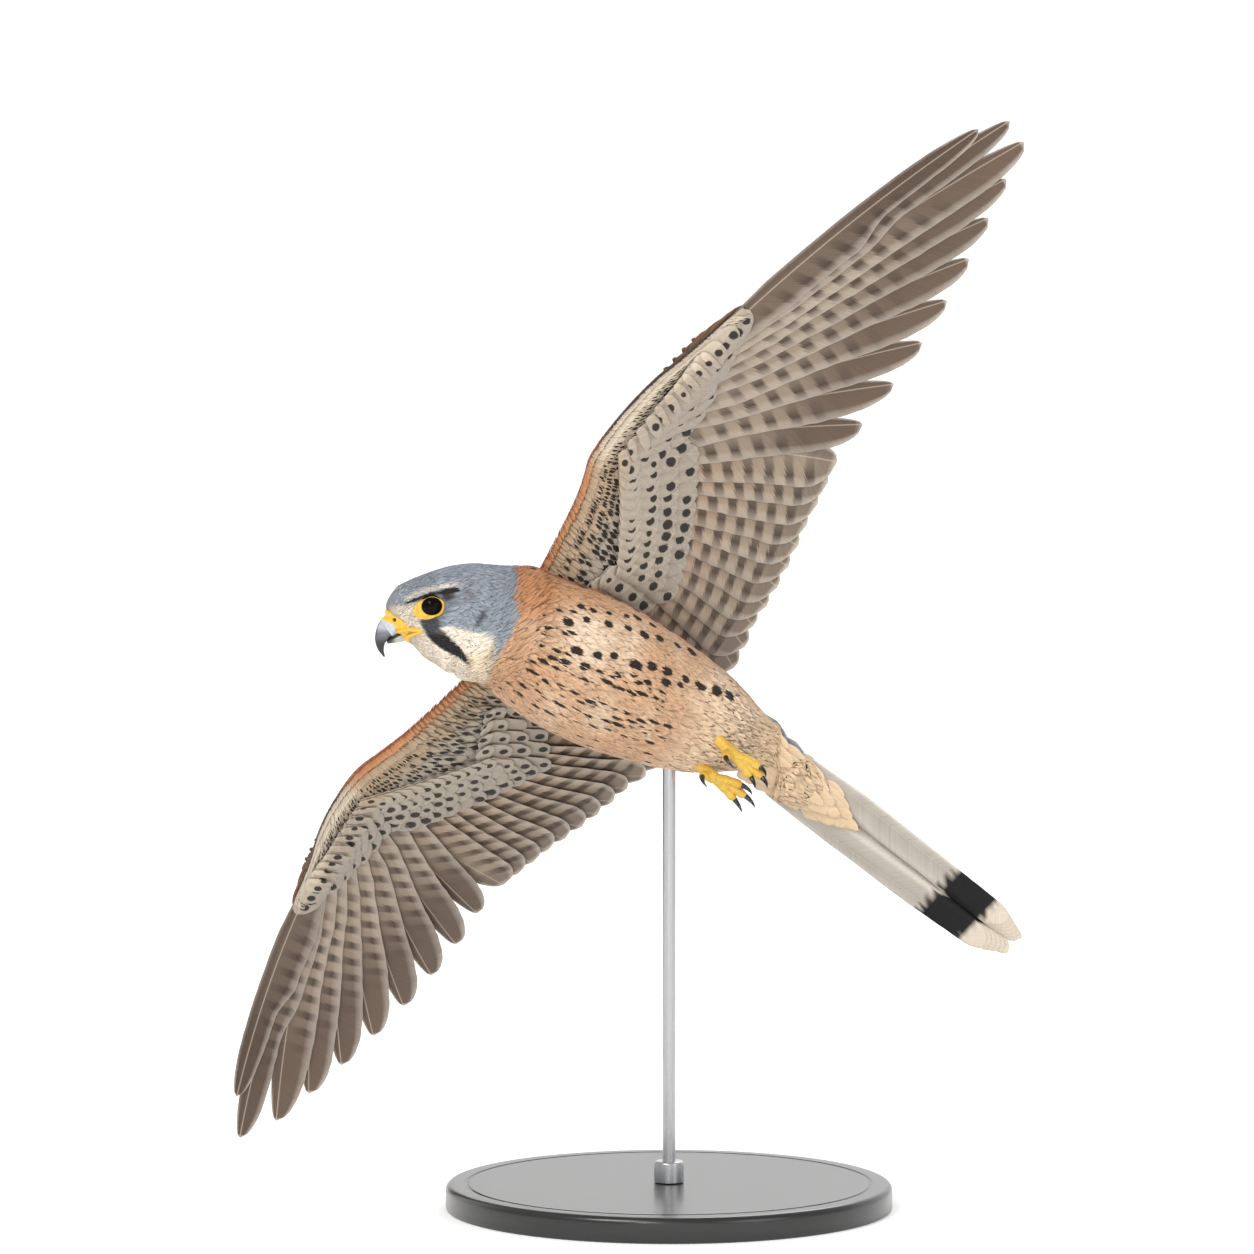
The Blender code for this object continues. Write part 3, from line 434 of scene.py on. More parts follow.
def body_colour(points):
    """The cock's coat: a grey hood, rufous shoulders and back, and a spotted buff belly."""
    points = points.reshape(-1, 3)
    behind, left, up = body_place(points).T
    ahead, side, above = head_place(points).T
    turn = np.degrees(np.arctan2(up, left)) % 360
    drift = mottle(points, 26, 1)
    fine = mottle(points, 7, 2)
    colour = np.tile(linear("#cca380"), (len(points), 1))
    pale = bump_at(behind, (turn - 318) / 10, (16, 0), (24, 3.5)) + 0.55 * drift + 0.2 * fine
    colour = blend(colour, "#e6ccb0", np.clip(0.8 * pale, 0, 1))
    vent = gate(behind, 66, 98) * gate(-up, -3, 5)
    colour = blend(colour, "#ecd3b4", vent * (0.8 + 0.2 * fine))
    flank = gate(-abs(up + 2) / 13, -1, -0.2) * gate(-behind, -70, 0)
    colour = blend(colour, "#c69467", 0.75 * flank)
    neck = gate(-behind, -9, 4) * gate(behind, -44, -34)
    collar = gate(-behind, 2, 9) * (gate(turn, 300, 330) + gate(-turn, -200, -180))
    colour = blend(colour, "#c4936a", 0.45 * neck)
    colour = blend(colour, "#bc7f53", 0.8 * np.clip(collar, 0, 1) * gate(behind, -44, -34))
    back = gate(up, 3, 9) * gate(behind, -30, -14)
    colour = blend(colour, "#a25c35", back)
    over_tail = (points - TAIL_ORIGIN) @ TAIL_UP
    tail = gate(behind, 108, 118) * gate(-over_tail, -3, 1)
    colour = blend(colour, "#dcbf9c", tail)
    rump = gate(up, 1, 6) * gate(behind, 88, 102) * gate(-behind, -112, -104)
    rump = np.maximum(rump, gate(behind, 104, 112) * gate(over_tail, -1.5, 1.5))
    colour = blend(colour, "#8c8f95", rump)
    return hood_colour(colour, ahead, side, above, fine)


def hood_colour(colour, ahead, side, above, fine):
    """The head over the coat: blue-grey, cream cheek and lore, dark moustache and eye line."""
    edge = -28 + 0.66 * np.maximum(-above - 4, 0) + 1.2 * fine
    hood = gate(ahead, edge - 1.2, edge + 1.2)
    colour = blend(colour, "#9097a1", hood)
    face = gate(abs(side), 2.0, 6.0)
    front = gate(ahead, 14, 24) * gate(above, 4, 9)
    colour = blend(colour, "#a3a8ad", front * 0.7)
    throat = gate(-above, 9.5, 12.5) * gate(ahead, -19, -13)
    colour = blend(colour, "#e3cfb2", throat * hood)
    chin = throat * gate(ahead, 4, 16)
    colour = blend(colour, "#e8d8c2", chin * 0.8)
    cheek = bump_at(ahead, above, (-5.0, -12.0), (11.5, 6.6))
    cheek = cheek + bump_at(ahead, above, (5, -7), (5, 3))
    colour = blend(colour, "#efe2cf", face * gate(cheek, 0.35, 0.7))
    lore = gate(ahead, 15.5, 19.5) * gate(-above, -8.0, -5.0)
    middle = np.interp(-above, (0, 2.5, 8.1, 13.8, 20.0), (12.2, 12.0, 9.8, 3.9, -3.6))
    half = np.interp(-above, (-1, 1.0, 2.5, 8, 14, 18, 22), (3.0, 4.6, 4.4, 4.3, 4.4, 3.2, 0.3))
    before = gate(ahead - middle - half, -1.0, 1.0) * gate(-above, 0.5, 2.5)
    colour = blend(colour, "#e5d7c4", face * np.maximum(lore, before))
    stripe_at = np.interp(ahead, (-1.0, 7.0, 15.6, 21.8), (14.8, 14.1, 12.6, 9.6))
    stripe = np.exp(-(((above - stripe_at) / 1.25) ** 2))
    stripe = stripe * gate(ahead, -6, 4) * gate(-ahead, -25, -21)
    colour = blend(colour, "#ece0d0", face * 0.85 * stripe)
    off = abs(ahead - middle - 0.5 * fine)
    moustache = gate(-off, -half - 0.7, -half + 0.9) * gate(-above, -1.0, 1.2)
    soft = 0.82 + 0.18 * gate(-above, 5, 9)
    colour = blend(colour, "#1d1a1c", face * moustache * soft)
    nape = bump_at(ahead + 0.62 * (above + 1.2), above, (-10.8, -1.2), (2.1, 5.2))
    colour = blend(colour, "#3f4045", face * gate(nape, 0.3, 0.85) * 0.85)
    thick = np.interp(ahead, (-3, 1.5, 5, 9, 18, 24), (0.4, 1.9, 1.7, 0.9, 0.8, 0.4))
    line = np.exp(-(((above - brow_line(ahead)) / thick) ** 2)) * gate(ahead, -4, 0)
    colour = blend(colour, "#1f1b1a", face * gate(line, 0.3, 0.7) * gate(-ahead, -25, -22))
    behind_eye = bump_at(ahead, above, (3.0, 9.4), (4.2, 2.4))
    colour = blend(colour, "#37312f", face * 0.9 * gate(behind_eye, 0.35, 0.8))
    ear = bump_at(ahead, above, (-6.0, 9.5), (4.5, 3.6))
    return blend(colour, "#6b6460", face * 0.55 * gate(ear, 0.3, 0.8))


def skin_map(station, turn):
    """OFBake places on an unwrap of the skin: round it once across, brow to tail upwards."""
    across = (np.asarray(turn) / (2 * np.pi)) % 1.0
    return np.stack((0.01 + 0.98 * across, 0.01 + 0.98 * np.asarray(station) / STATION[-1]), -1)


SKIN_ROWS, SKIN_SIDES = 220, 97
station, turn = np.meshgrid(
    np.linspace(0, STATION[-1], SKIN_ROWS), np.linspace(0, 2 * np.pi, SKIN_SIDES), indexing="ij"
)
place, out = skin_at(station, turn)
place[:, -1], out[:, -1] = place[:, 0], out[:, 0]
place = place - out * coat_depth(station)[..., None]
flat = skin_map(station, np.minimum(turn, 2 * np.pi - 1e-4)).reshape(-1, 2)
place[0], place[-1] = place[0].mean(0), place[-1].mean(0)
# The skin's Tint is the plumage's colours at 0.62: painted shade under the coat
skin = joined(
    "skin", place, [grid_faces(SKIN_ROWS, SKIN_SIDES)], {"OFBake": flat},
    Tint=body_colour(place) * 0.62,
)
# Skin with its down: matt. Its Tint is the plumage's colours darkened to 0.62, painted shade under
# the coat where the skin shows between feathers
shaded_down_look = grained("skin_and_down_in_painted_shade", "#b98f66", 0.95, ("TexNoise", {"Scale": 1800.0}),
                    (0.0, 1.0, 1.0, 1.0), (0.5, 0.4))
skin.data.materials.append(shaded_down_look)
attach(skin, "root")
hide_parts("torso", "neck", "head")

# The coat: contour feathers in shingled rows from the face back, each a thin vane with a
# slight dome, its edges frayed, lying on the skin and lifted a little at its tip.


def lay_coat(name, station, turn, length, width, rise, seed, rough=0.10, stations=6, veer=0.0,
             surface=None, reach=(0.5, 0.02), depth=None, paint=None, unwrap=None, spots=None):
    """Closed vanes whose roots lie at (station, turn), draped on a surface as one mesh.

    A vane's point is a step a along the body and b across it from its root, a = s L cos v -
    u sin v and b = s L sin v + u cos v, taken over the skin and held off it by lift + rise s.
    Its half width is w (sin(pi s^0.8 / 1.12))^0.55, and the edges are frayed at random.
    """
    draw = np.random.default_rng(seed)
    surface, depth, paint = surface or skin_at, depth or coat_depth, paint or body_colour
    unwrap, spots = unwrap or skin_map, spots or nearest_spot
    count = len(station)
    section = np.array(((-1, 0), (-0.5, 0.75), (0, 1.0), (0.5, 0.75), (1, 0), (0, -0.15)))
    share = np.linspace(0, 1, stations)
    half = np.clip(np.sin(np.pi * share**0.8 / 1.12), 0.0, 1) ** 0.55
    half[0], half[-1] = 0.25, 0.16
    half = half * (1 + rough * draw.uniform(-1, 1, (count, stations)))
    veer = veer + draw.normal(0, 0.07, count)
    u = section[:, 0] * (half * (width / 2)[:, None])[..., None]
    fray = 1 + rough * draw.uniform(-1, 1, (count, stations, len(section)))
    run = (share * length[:, None])[..., None] * fray
    cos, sin = np.cos(veer)[:, None, None], np.sin(veer)[:, None, None]
    a, b = run * cos - u * sin, run * sin + u * cos
    near, _ = surface(station, turn)
    ahead, _ = surface(station + reach[0], turn)
    beside, _ = surface(station, turn + reach[1])
    grow_a = np.linalg.norm(ahead - near, axis=-1) / reach[0]
    grow_b = np.linalg.norm(beside - near, axis=-1) / reach[1]
    at = station[:, None, None] + a / np.maximum(grow_a, 0.5)[:, None, None]
    around = turn[:, None, None] + b / np.maximum(grow_b, 3.0)[:, None, None]
    place, out = surface(at, around)
    dome = section[:, 1] * (0.06 * width)[:, None, None] * np.sqrt(half / half.max())[..., None]
    lift = rise[:, None, None] * (0.12 + 0.88 * share[:, None]) - depth(at)
    place = place + out * (lift + dome + draw.uniform(0, 0.12, count)[:, None, None])[..., None]
    corners = count * stations * len(section)
    across = np.broadcast_to(section[:, 0], place.shape[:-1])
    along = np.broadcast_to(share[:, None], place.shape[:-1])
    vane_map = np.stack((0.5 + 0.5 * across, along), -1).reshape(-1, 2)
    own = np.broadcast_to(draw.uniform(0, 1, count)[:, None, None], a.shape)
    barb = np.stack((u + 0 * a, run + 0 * u, own), -1).reshape(-1, 3)
    root = unwrap(station, turn)[:, None, None]
    bake = (root + 0.0014 * np.stack((across, 2 * along - 1), -1)).reshape(-1, 2)
    seen = np.repeat(place[:, stations // 2, 2], stations * len(section), axis=0)
    tone = paint(0.35 * seen + 0.65 * place.reshape(corners, 3))
    spots = spots(place, u + 0 * a, run + 0 * u, length)
    return joined(
        name, place, closed_faces(stations, len(section), count),
        {"Vane": vane_map, "OFBake": bake}, Tint=tone, Barb=barb, Spot=spots,
    )


# Rows of black spots: turn from the left and place behind the breast where a row starts and
# ends, how many, half length and half width in mm. They follow the photograph's flank.
SPOT_ROWS = (
    (338, 6, 358, 44, 6, 2.4, 1.8), (322, 2, 356, 68, 8, 3.0, 2.3),
    (301, 12, 332, 94, 10, 3.1, 2.3), (287, 8, 312, 66, 8, 2.9, 1.7),
    (277, -6, 296, 62, 12, 4.4, 1.15), (265, -9, 277, 70, 12, 4.6, 1.15),
    (250, -10, 266, 70, 12, 4.4, 1.1), (236, -8, 258, 68, 11, 4.0, 1.1),
    (292, -12, 297, 6, 4, 4.4, 1.15), (309, -10, 313, 6, 4, 4.0, 1.1),
    (326, -9, 332, 2, 3, 3.0, 1.1), (222, 2, 244, 70, 9, 2.8, 0.9),
    (206, 4, 226, 74, 9, 2.6, 1.1), (190, 8, 206, 80, 9, 2.8, 1.6),
    (12, 10, 14, 84, 9, 2.8, 1.9), (170, 10, 186, 84, 9, 2.8, 1.9),
    (258, -12, 271, 66, 12, 3.6, 0.95), (284, -4, 303, 58, 10, 3.6, 1.1),
)
BACK_ROWS, BACK_STEP = 7, 11.5


def spot_table():
    """Each spot's place on the skin, its half length and its half width."""
    draw = np.random.default_rng(5)
    table = []
    for start, near, end, far, count, long, wide in SPOT_ROWS:
        for share in np.linspace(0, 1, count):
            behind = near + (far - near) * share + draw.uniform(-1.6, 1.6)
            turn = start + (end - start) * share + draw.uniform(-2.0, 2.0)
            size = draw.uniform(0.75, 1.2)
            table.append((behind, turn, long * size, wide * size))
    for row in range(BACK_ROWS):
        for step in range(9):
            behind = -12 + BACK_STEP * (step + 0.5 * (row % 2))
            if behind < 84:
                turn = 35 + 110 * row / (BACK_ROWS - 1) + draw.uniform(-2, 2)
                table.append((behind + draw.uniform(-1, 1), turn, 2.6, 2.2))
    for step in range(120):
        behind, turn = draw.uniform(-20, 2), draw.uniform(0, 360)
        low = float(gate(-math.sin(math.radians(turn)), 0.0, 0.6))
        table.append((behind, turn, 1.0 + 1.6 * low, 0.6))
    for step in range(80):
        behind, turn = draw.uniform(-12, 62), draw.uniform(212, 306)
        table.append((behind, turn, 3.0, 0.7))
    table = np.array(table)
    place, _ = skin_at(station_of(table[:, 0]), np.radians(table[:, 1]))
    return place, table[:, 2], table[:, 3]


SPOT_PLACES, SPOT_LONG, SPOT_WIDE = spot_table()


def nearest_spot(place, *_):
    """Per vane the closest spot: (across, along) from it in its own half sizes, and 1 if near."""
    shown = place[:, (3 * place.shape[1]) // 4, 2][:, None] - SPOT_PLACES[None]
    run = shown @ -FORE
    rest = np.sqrt(np.maximum(np.sum(shown**2, -1) - run**2, 0))
    away = np.hypot(run / (SPOT_LONG + 1.5), rest / (SPOT_WIDE + 1.2))
    best = away.argmin(1)
    near = away[np.arange(len(best)), best] < 3.0
    offset = place - SPOT_PLACES[best][:, None, None]
    along = np.broadcast_to(-FORE, offset.shape)
    run = np.sum(offset * along, -1)
    rest = np.linalg.norm(offset - along * run[..., None], axis=-1)
    long, wide = SPOT_LONG[best][:, None, None], SPOT_WIDE[best][:, None, None]
    spot = np.stack((rest / wide, run / long, np.broadcast_to(near[:, None, None], run.shape)), -1)
    return spot.reshape(-1, 3)


def coat_rows(start, stop, step, spacing, seed, keep=None):
    """Root places in staggered rows between two stations, about spacing mm apart in a row."""
    draw = np.random.default_rng(seed)
    roots, at, row = [], start, 0
    while at < stop:
        turns = np.linspace(0, 2 * np.pi, 721)
        ring, _ = skin_at(np.full(721, at), turns)
        run = np.concatenate(([0], np.cumsum(np.linalg.norm(np.diff(ring, axis=0), axis=1))))
        count = max(6, int(run[-1] / spacing(at)))
        even = (np.arange(count) + 0.5 * (row % 2) + draw.uniform(-0.22, 0.22, count)) / count
        turn = np.interp(even % 1.0 * run[-1], run, turns)
        jitter = draw.uniform(-0.3, 0.3, count) * step(at)
        roots.append(np.column_stack((np.maximum(at + jitter, 0.3), turn)))
        at, row = at + step(at), row + 1
    roots = np.vstack(roots)
    if keep is not None:
        roots = roots[keep(*skin_at(roots[:, 0], roots[:, 1])[:1])]
    return roots[:, 0], roots[:, 1]


def off_the_eye(places):
    """Keeps feathers out of the bare ring round the eye, and off the cere and the bill."""
    ahead, left, up = head_place(places).T
    away = np.hypot(ahead - EYE_AT[0], up - EYE_AT[1])
    ahead_of = gate(ahead, 12, 18) * gate(-up, -6, 0) * 2.2
    bare = (away < 6.0 + ahead_of) & (abs(left) > 5)
    rear = np.clip(30.0 - (4.3 - up) * 0.89, 24.2, 28.5)
    return ~bare & (ahead < rear) & ~((ahead > 24.6) & (up < -7.6))


def spotted(tree, under, ragged, sharp, dark, point=0.0):
    """The vane's spot over a colour: dark where the attribute's (x, y), in half sizes from the
    spot's middle, is shorter than 1. ragged roughens its edge, sharp holds that edge's range and
    depth, and point draws it out along the shaft, where x is near 0."""
    spot = add(tree, "Attribute", {"attribute_name": "Spot"})
    at = add(tree, "SeparateXYZ", links={0: spot.outputs["Vector"]})
    plane = add(tree, "CombineXYZ", links={0: at.outputs["X"], 1: at.outputs["Y"]})
    radius = add(tree, "VectorMath", {"operation": "LENGTH"}, {0: plane.outputs[0]})
    off = add(tree, "Math", {"operation": "ABSOLUTE"}, {0: at.outputs["X"]})
    tip = add(tree, "MapRange", {1: 0.0, 2: 0.35, 3: point, 4: 0.0}, {0: off.outputs[0]})
    drawn = add(tree, "Math", {"operation": "SUBTRACT"}, {0: ragged, 1: tip.outputs[0]})
    edge = add(tree, "Math", {"operation": "ADD"},
               {0: radius.outputs["Value"], 1: drawn.outputs[0]})
    near, full, deep = sharp
    inside = add(tree, "MapRange", {1: near, 2: full, 3: 0.0, 4: deep}, {0: edge.outputs[0]})
    share = add(tree, "Math", {"operation": "MULTIPLY"}, {0: inside.outputs[0], 1: at.outputs["Z"]})
    return add(tree, "Mix", {"data_type": "RGBA", 7: (*linear(dark), 1)},
               {0: share.outputs[0], 6: under}).outputs[2]


def plumage(name, colour, spread=0.10, streak=0.34, gloss=0.82, sheen=0.08):
    """Feather stuff: barbs as fine streaks off the shaft, edges paler, painted shade towards each
    vane's covered root, spots crisp and dark.
    """
    made, tree, shader = new_material(
        name, colour, gloss, Sheen_Weight=sheen, Sheen_Roughness=0.6, Specular_IOR_Level=0.25
    )
    tint, barb = (add(tree, "Attribute", {"attribute_name": key}) for key in ("Tint", "Barb"))
    vane = add(tree, "UVMap", {"uv_map": "Vane"})
    parts = add(tree, "SeparateXYZ", links={0: barb.outputs["Vector"]})
    along = add(tree, "Math", {"operation": "MULTIPLY", 1: 0.16}, {0: parts.outputs["Y"]})
    own = add(tree, "Math", {"operation": "MULTIPLY", 1: 83.0}, {0: parts.outputs["Z"]})
    wave = add(tree, "CombineXYZ", links={0: parts.outputs["X"], 1: along.outputs[0],
                                          2: own.outputs[0]})
    # Loose barbs lie 0.2 mm apart; they are drawn 0.6 mm apart, as finer ones would not show
    streaks = add(tree, "TexNoise", {"Scale": 1.7, "Detail": 3.0}, {"Vector": wave.outputs[0]})
    tall = add(tree, "MapRange", {1: 0.32, 2: 0.68, 3: 1 - streak, 4: 1 + 0.5 * streak},
               {0: streaks.outputs["Fac"]})
    each = add(tree, "MapRange", {1: 0.0, 2: 1.0, 3: 1 - spread, 4: 1 + spread},
               {0: parts.outputs["Z"]})
    shade = add(tree, "Math", {"operation": "MULTIPLY"}, {0: tall.outputs[0], 1: each.outputs[0]})
    sides = add(tree, "SeparateXYZ", links={0: vane.outputs["UV"]})
    # Painted shade: each vane darkens towards its root, which the vanes before it cover, and is a
    # shade brighter at its tip
    root = add(tree, "MapRange", {1: 0.2, 2: 0.8, 3: 0.84, 4: 1.03}, {0: sides.outputs["Y"]})
    full = add(tree, "Math", {"operation": "MULTIPLY"}, {0: shade.outputs[0], 1: root.outputs[0]})
    lit = add(tree, "VectorMath", {"operation": "SCALE"},
              {0: tint.outputs["Color"], "Scale": full.outputs[0]})
    ragged = add(tree, "MapRange", {1: 0.3, 2: 0.7, 3: -0.22, 4: 0.22}, {0: streaks.outputs["Fac"]})
    dark = spotted(tree, lit.outputs[0], ragged.outputs[0], (1.12, 0.86, 0.98), "#140b07", 0.42)
    relief = add(tree, "Bump", {"Strength": 0.22, "Distance": 0.0003},
                 {"Height": streaks.outputs["Fac"]})
    tree.links.new(dark, shader.inputs["Base Color"])
    tree.links.new(relief.outputs["Normal"], shader.inputs["Normal"])
    return made


def dress(made, look, slot, *nodes):
    """Gives a piece its material, hangs it from the root body and hides the model's parts that it
    replaces.
    """
    made.data.materials.append(look)
    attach(made, "root")
    if nodes:
        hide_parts(*nodes)
    return made


body_look = plumage("contour_feathers_buff", "#cf9f6c")
hood_look = plumage("contour_feathers_hood", "#8f949b", spread=0.12, streak=0.42)
NECK_START, BREAST_START = station_of(-47), station_of(-16)
COAT_END = STATION[-1] - 9

station, turn = coat_rows(
    0.6, NECK_START, lambda at: 0.8 + 0.6 * gate(at, 4, 30),
    lambda at: 0.8 + 0.35 * gate(at, 4, 34), 21, off_the_eye,
)
span = gate(station, 2, 38)
coat = lay_coat("hood_feathers", station, turn, 2.4 + 4.0 * span, 0.95 + 0.75 * span,
                0.40 + 0.25 * span, 22, stations=4)
dress(coat, hood_look, "plumage_head")
station, turn = coat_rows(
    NECK_START, BREAST_START, lambda at: 1.6, lambda at: 1.6, 23, off_the_eye
)
full = np.ones(len(station))
dress(lay_coat("neck_feathers", station, turn, 7.5 * full, 2.4 * full, 0.6 * full, 24, stations=5),
      body_look, "plumage_body")
station, turn = coat_rows(BREAST_START, station_of(70), lambda at: 2.4, lambda at: 2.3, 25)
full = np.ones(len(station))
dress(lay_coat("breast_feathers", station, turn, 11.5 * full, 3.5 * full, 0.65 * full, 26,
               stations=5),
      body_look, "plumage_body")
station, turn = coat_rows(station_of(70), COAT_END, lambda at: 2.4, lambda at: 2.3, 27)
full = np.ones(len(station))
# The thighs' feathers are longer and looser, and half hide the shanks
thigh = bump_at(station - station_of(88), np.degrees(turn) - 275, (0, 0), (15, 50))
dress(lay_coat("belly_feathers", station, turn, 13.0 + 5.0 * thigh, 3.4 * full, 1.0 + 2.6 * thigh,
               28, rough=0.16),
      body_look, "plumage_body")

# The wings: barred flight feathers in a fan, each shingled under its inner neighbour, and
# tiers of spotted coverts over the arm and hand, pale grey below and chestnut above.

UPPER_ARM, FOREARM, HAND = 45.0, 52.0, 60.0
PRIMARIES, SECONDARIES, TERTIALS = 10, 11, 4
FIRST_PRIMARY, PRIMARY_STEP = 124.0, 9.85
SECONDARY_LENGTHS = ((0, 114.0), (3, 105.0), (8, 97.5), (10, 100.0))
PRIMARY_VANE, SECONDARY_VANE = (4.8, 13.6), (7.8, 15.6)
VANE_HOLLOW, HAND_DROOP, FEATHER_THICK, FEATHER_STEP = 0.02, 15.0, 0.36, 0.82
SHINGLE = math.tan(math.radians(8.0))
CORE_OVER_ROOTS = 17.0
WINGS = {
    "left": {
        "side": 1, "shoulder": (-1.8, 9.9, 16.0), "rise": 3.8, "twist": -11.0,
        "wrist": (85.0, 9.1), "hand": 11.9, "fan": (17.9, 60.1, 68.4, 110.4),
        "crowd": (1.5, 1.1), "outermost": ((18.1, 187.8), (16.0, 168.5)),
    },
    "right": {
        "side": -1, "shoulder": (-0.8, -44.8, 18.5), "rise": 13.9, "twist": -14.1,
        "wrist": (80.5, 12.9), "hand": 11.8, "fan": (15.9, 58.7, 67.4, 106.6),
        "crowd": (1.3, 1.2), "outermost": ((17.1, 195.9), (14.7, 161.0)),
    },
}


def square_to(lie):
    """The plan direction square to a feather's lie, towards the wing's leading edge."""
    return np.array((math.sin(math.radians(lie)), -math.cos(math.radians(lie))))


class Feather:
    """One flight feather's plan on the wing's plane: root, lie, length, bow and widths."""

    def __init__(self, root, lie, length, bow, widths, kind):
        self.root, self.lie, self.length, self.bow = np.array(root), lie, length, bow
        self.widths, self.kind, self.raised, self.notch = widths, kind, 0.0, 0.0

    def shaft(self, share):
        """Root + length * share along the lie, bowed forward by bow * 4 s (1 - s)."""
        share = np.asarray(share, float)[:, None]
        lie = np.array((math.cos(math.radians(self.lie)), math.sin(math.radians(self.lie))))
        straight = self.root + lie * self.length * share
        return straight + square_to(self.lie) * self.bow * 4 * share * (1 - share)

    def droop(self, share):
        """The vane's hollow underside: it falls by the square of the share."""
        return self.raised - VANE_HOLLOW * self.length * np.asarray(share) ** 2


class Wing:
    """One wing laid out flat, with what turns that plan to the world."""

    def __init__(self, pose):
        self.side, self.pose = pose["side"], pose
        reach, turn = pose["wrist"]
        turn = math.radians(turn)
        self.wrist = reach * np.array((math.cos(turn), -math.sin(turn)))
        elbow_bend = (UPPER_ARM**2 + reach**2 - FOREARM**2) / (2 * UPPER_ARM * reach)
        inner = math.acos(elbow_bend) - turn
        self.elbow = UPPER_ARM * np.array((math.cos(inner), math.sin(inner)))
        hand = math.radians(pose["hand"])
        self.hand_end = self.wrist + HAND * np.array((math.cos(hand), math.sin(hand)))
        rise, twist = math.radians(pose["rise"]), math.radians(pose["twist"])
        self.out = math.cos(rise) * LEFT * self.side + math.sin(rise) * UP
        normal = np.cross(self.out, -FORE)
        normal *= np.sign(np.dot(normal, UP))
        self.back = -FORE * math.cos(twist) - normal * math.sin(twist)
        self.up = normal * math.cos(twist) - FORE * math.sin(twist)
        self.shoulder = in_body(*pose["shoulder"])
        self.row = self.flight_feathers()

    def place(self, rows):
        """World places of plan rows; past the wrist the hand droops by (x / 200 mm) squared."""
        rows = np.asarray(rows, float)
        out, back, raised = rows[..., 0], rows[..., 1], rows[..., 2]
        raised = raised - HAND_DROOP * (np.maximum(out - self.wrist[0], 0) / 200) ** 2
        flat = out[..., None] * self.out + back[..., None] * self.back
        return self.shoulder + flat + raised[..., None] * self.up

    def flight_feathers(self):
        """Tertials, secondaries and primaries, from the body outwards, each a step lower."""
        outer_lie, first_lie, near_lie, far_lie = self.pose["fan"]
        crowd_hand, crowd_arm = self.pose["crowd"]
        row = []
        for at in range(TERTIALS, 0, -1):
            share = at / (TERTIALS + 1)
            root = self.elbow * (1 - share)
            lie, length = far_lie + 4 * share, 100.0 - 32.0 * share
            row.append(Feather(root, lie, length, 3.0, SECONDARY_VANE, "tertial"))
        for at in range(SECONDARIES - 1, -1, -1):
            share = at / (SECONDARIES - 1)
            root = self.wrist + (0.06 + 0.94 * share) * (self.elbow - self.wrist)
            length = np.interp(at, *zip(*SECONDARY_LENGTHS))
            lie = near_lie + (far_lie - near_lie) * share**crowd_arm
            row.append(Feather(root, lie, length, 5.0, SECONDARY_VANE, "secondary"))
        for at in range(PRIMARIES):
            share = at / (PRIMARIES - 1)
            root = self.wrist + share * (self.hand_end - self.wrist)
            lie = outer_lie + (first_lie - outer_lie) * (1 - share) ** crowd_hand
            length = FIRST_PRIMARY + PRIMARY_STEP * at
            if at >= PRIMARIES - 2:
                lie, length = self.pose["outermost"][at - PRIMARIES]
            row.append(Feather(root, lie, length, 2.5, PRIMARY_VANE, "primary"))
            # The outermost primaries narrow over their last third, which opens the slots
            row[-1].notch = (0.0, 0.28, 0.42)[max(0, at - PRIMARIES + 3)] if at > 6 else 0.0
        for inner, outer in zip(row, row[1:]):
            step = FEATHER_STEP - SHINGLE * self.spread(inner, outer)
            outer.raised = inner.raised - max(0.0, step)
        return row

    def spread(self, inner, outer):
        """How far apart two neighbours' shafts are where they leave the wing's core."""
        from_inner = outer.shaft([CORE_OVER_ROOTS / outer.length])[0] - inner.root
        return max(0.0, from_inner @ square_to(inner.lie))


def rounded(share, blunt):
    """A vane's width over its length: full, then closed by an ellipse over the last part."""
    start = 1 - blunt
    near = np.clip(0.45 + share / 0.3 * 0.55, 0, 1)
    tip = np.sqrt(np.clip(1 - (np.maximum(share - start, 0) / blunt) ** 2.5, 0, 1))
    return near * np.maximum(tip, 0.02)


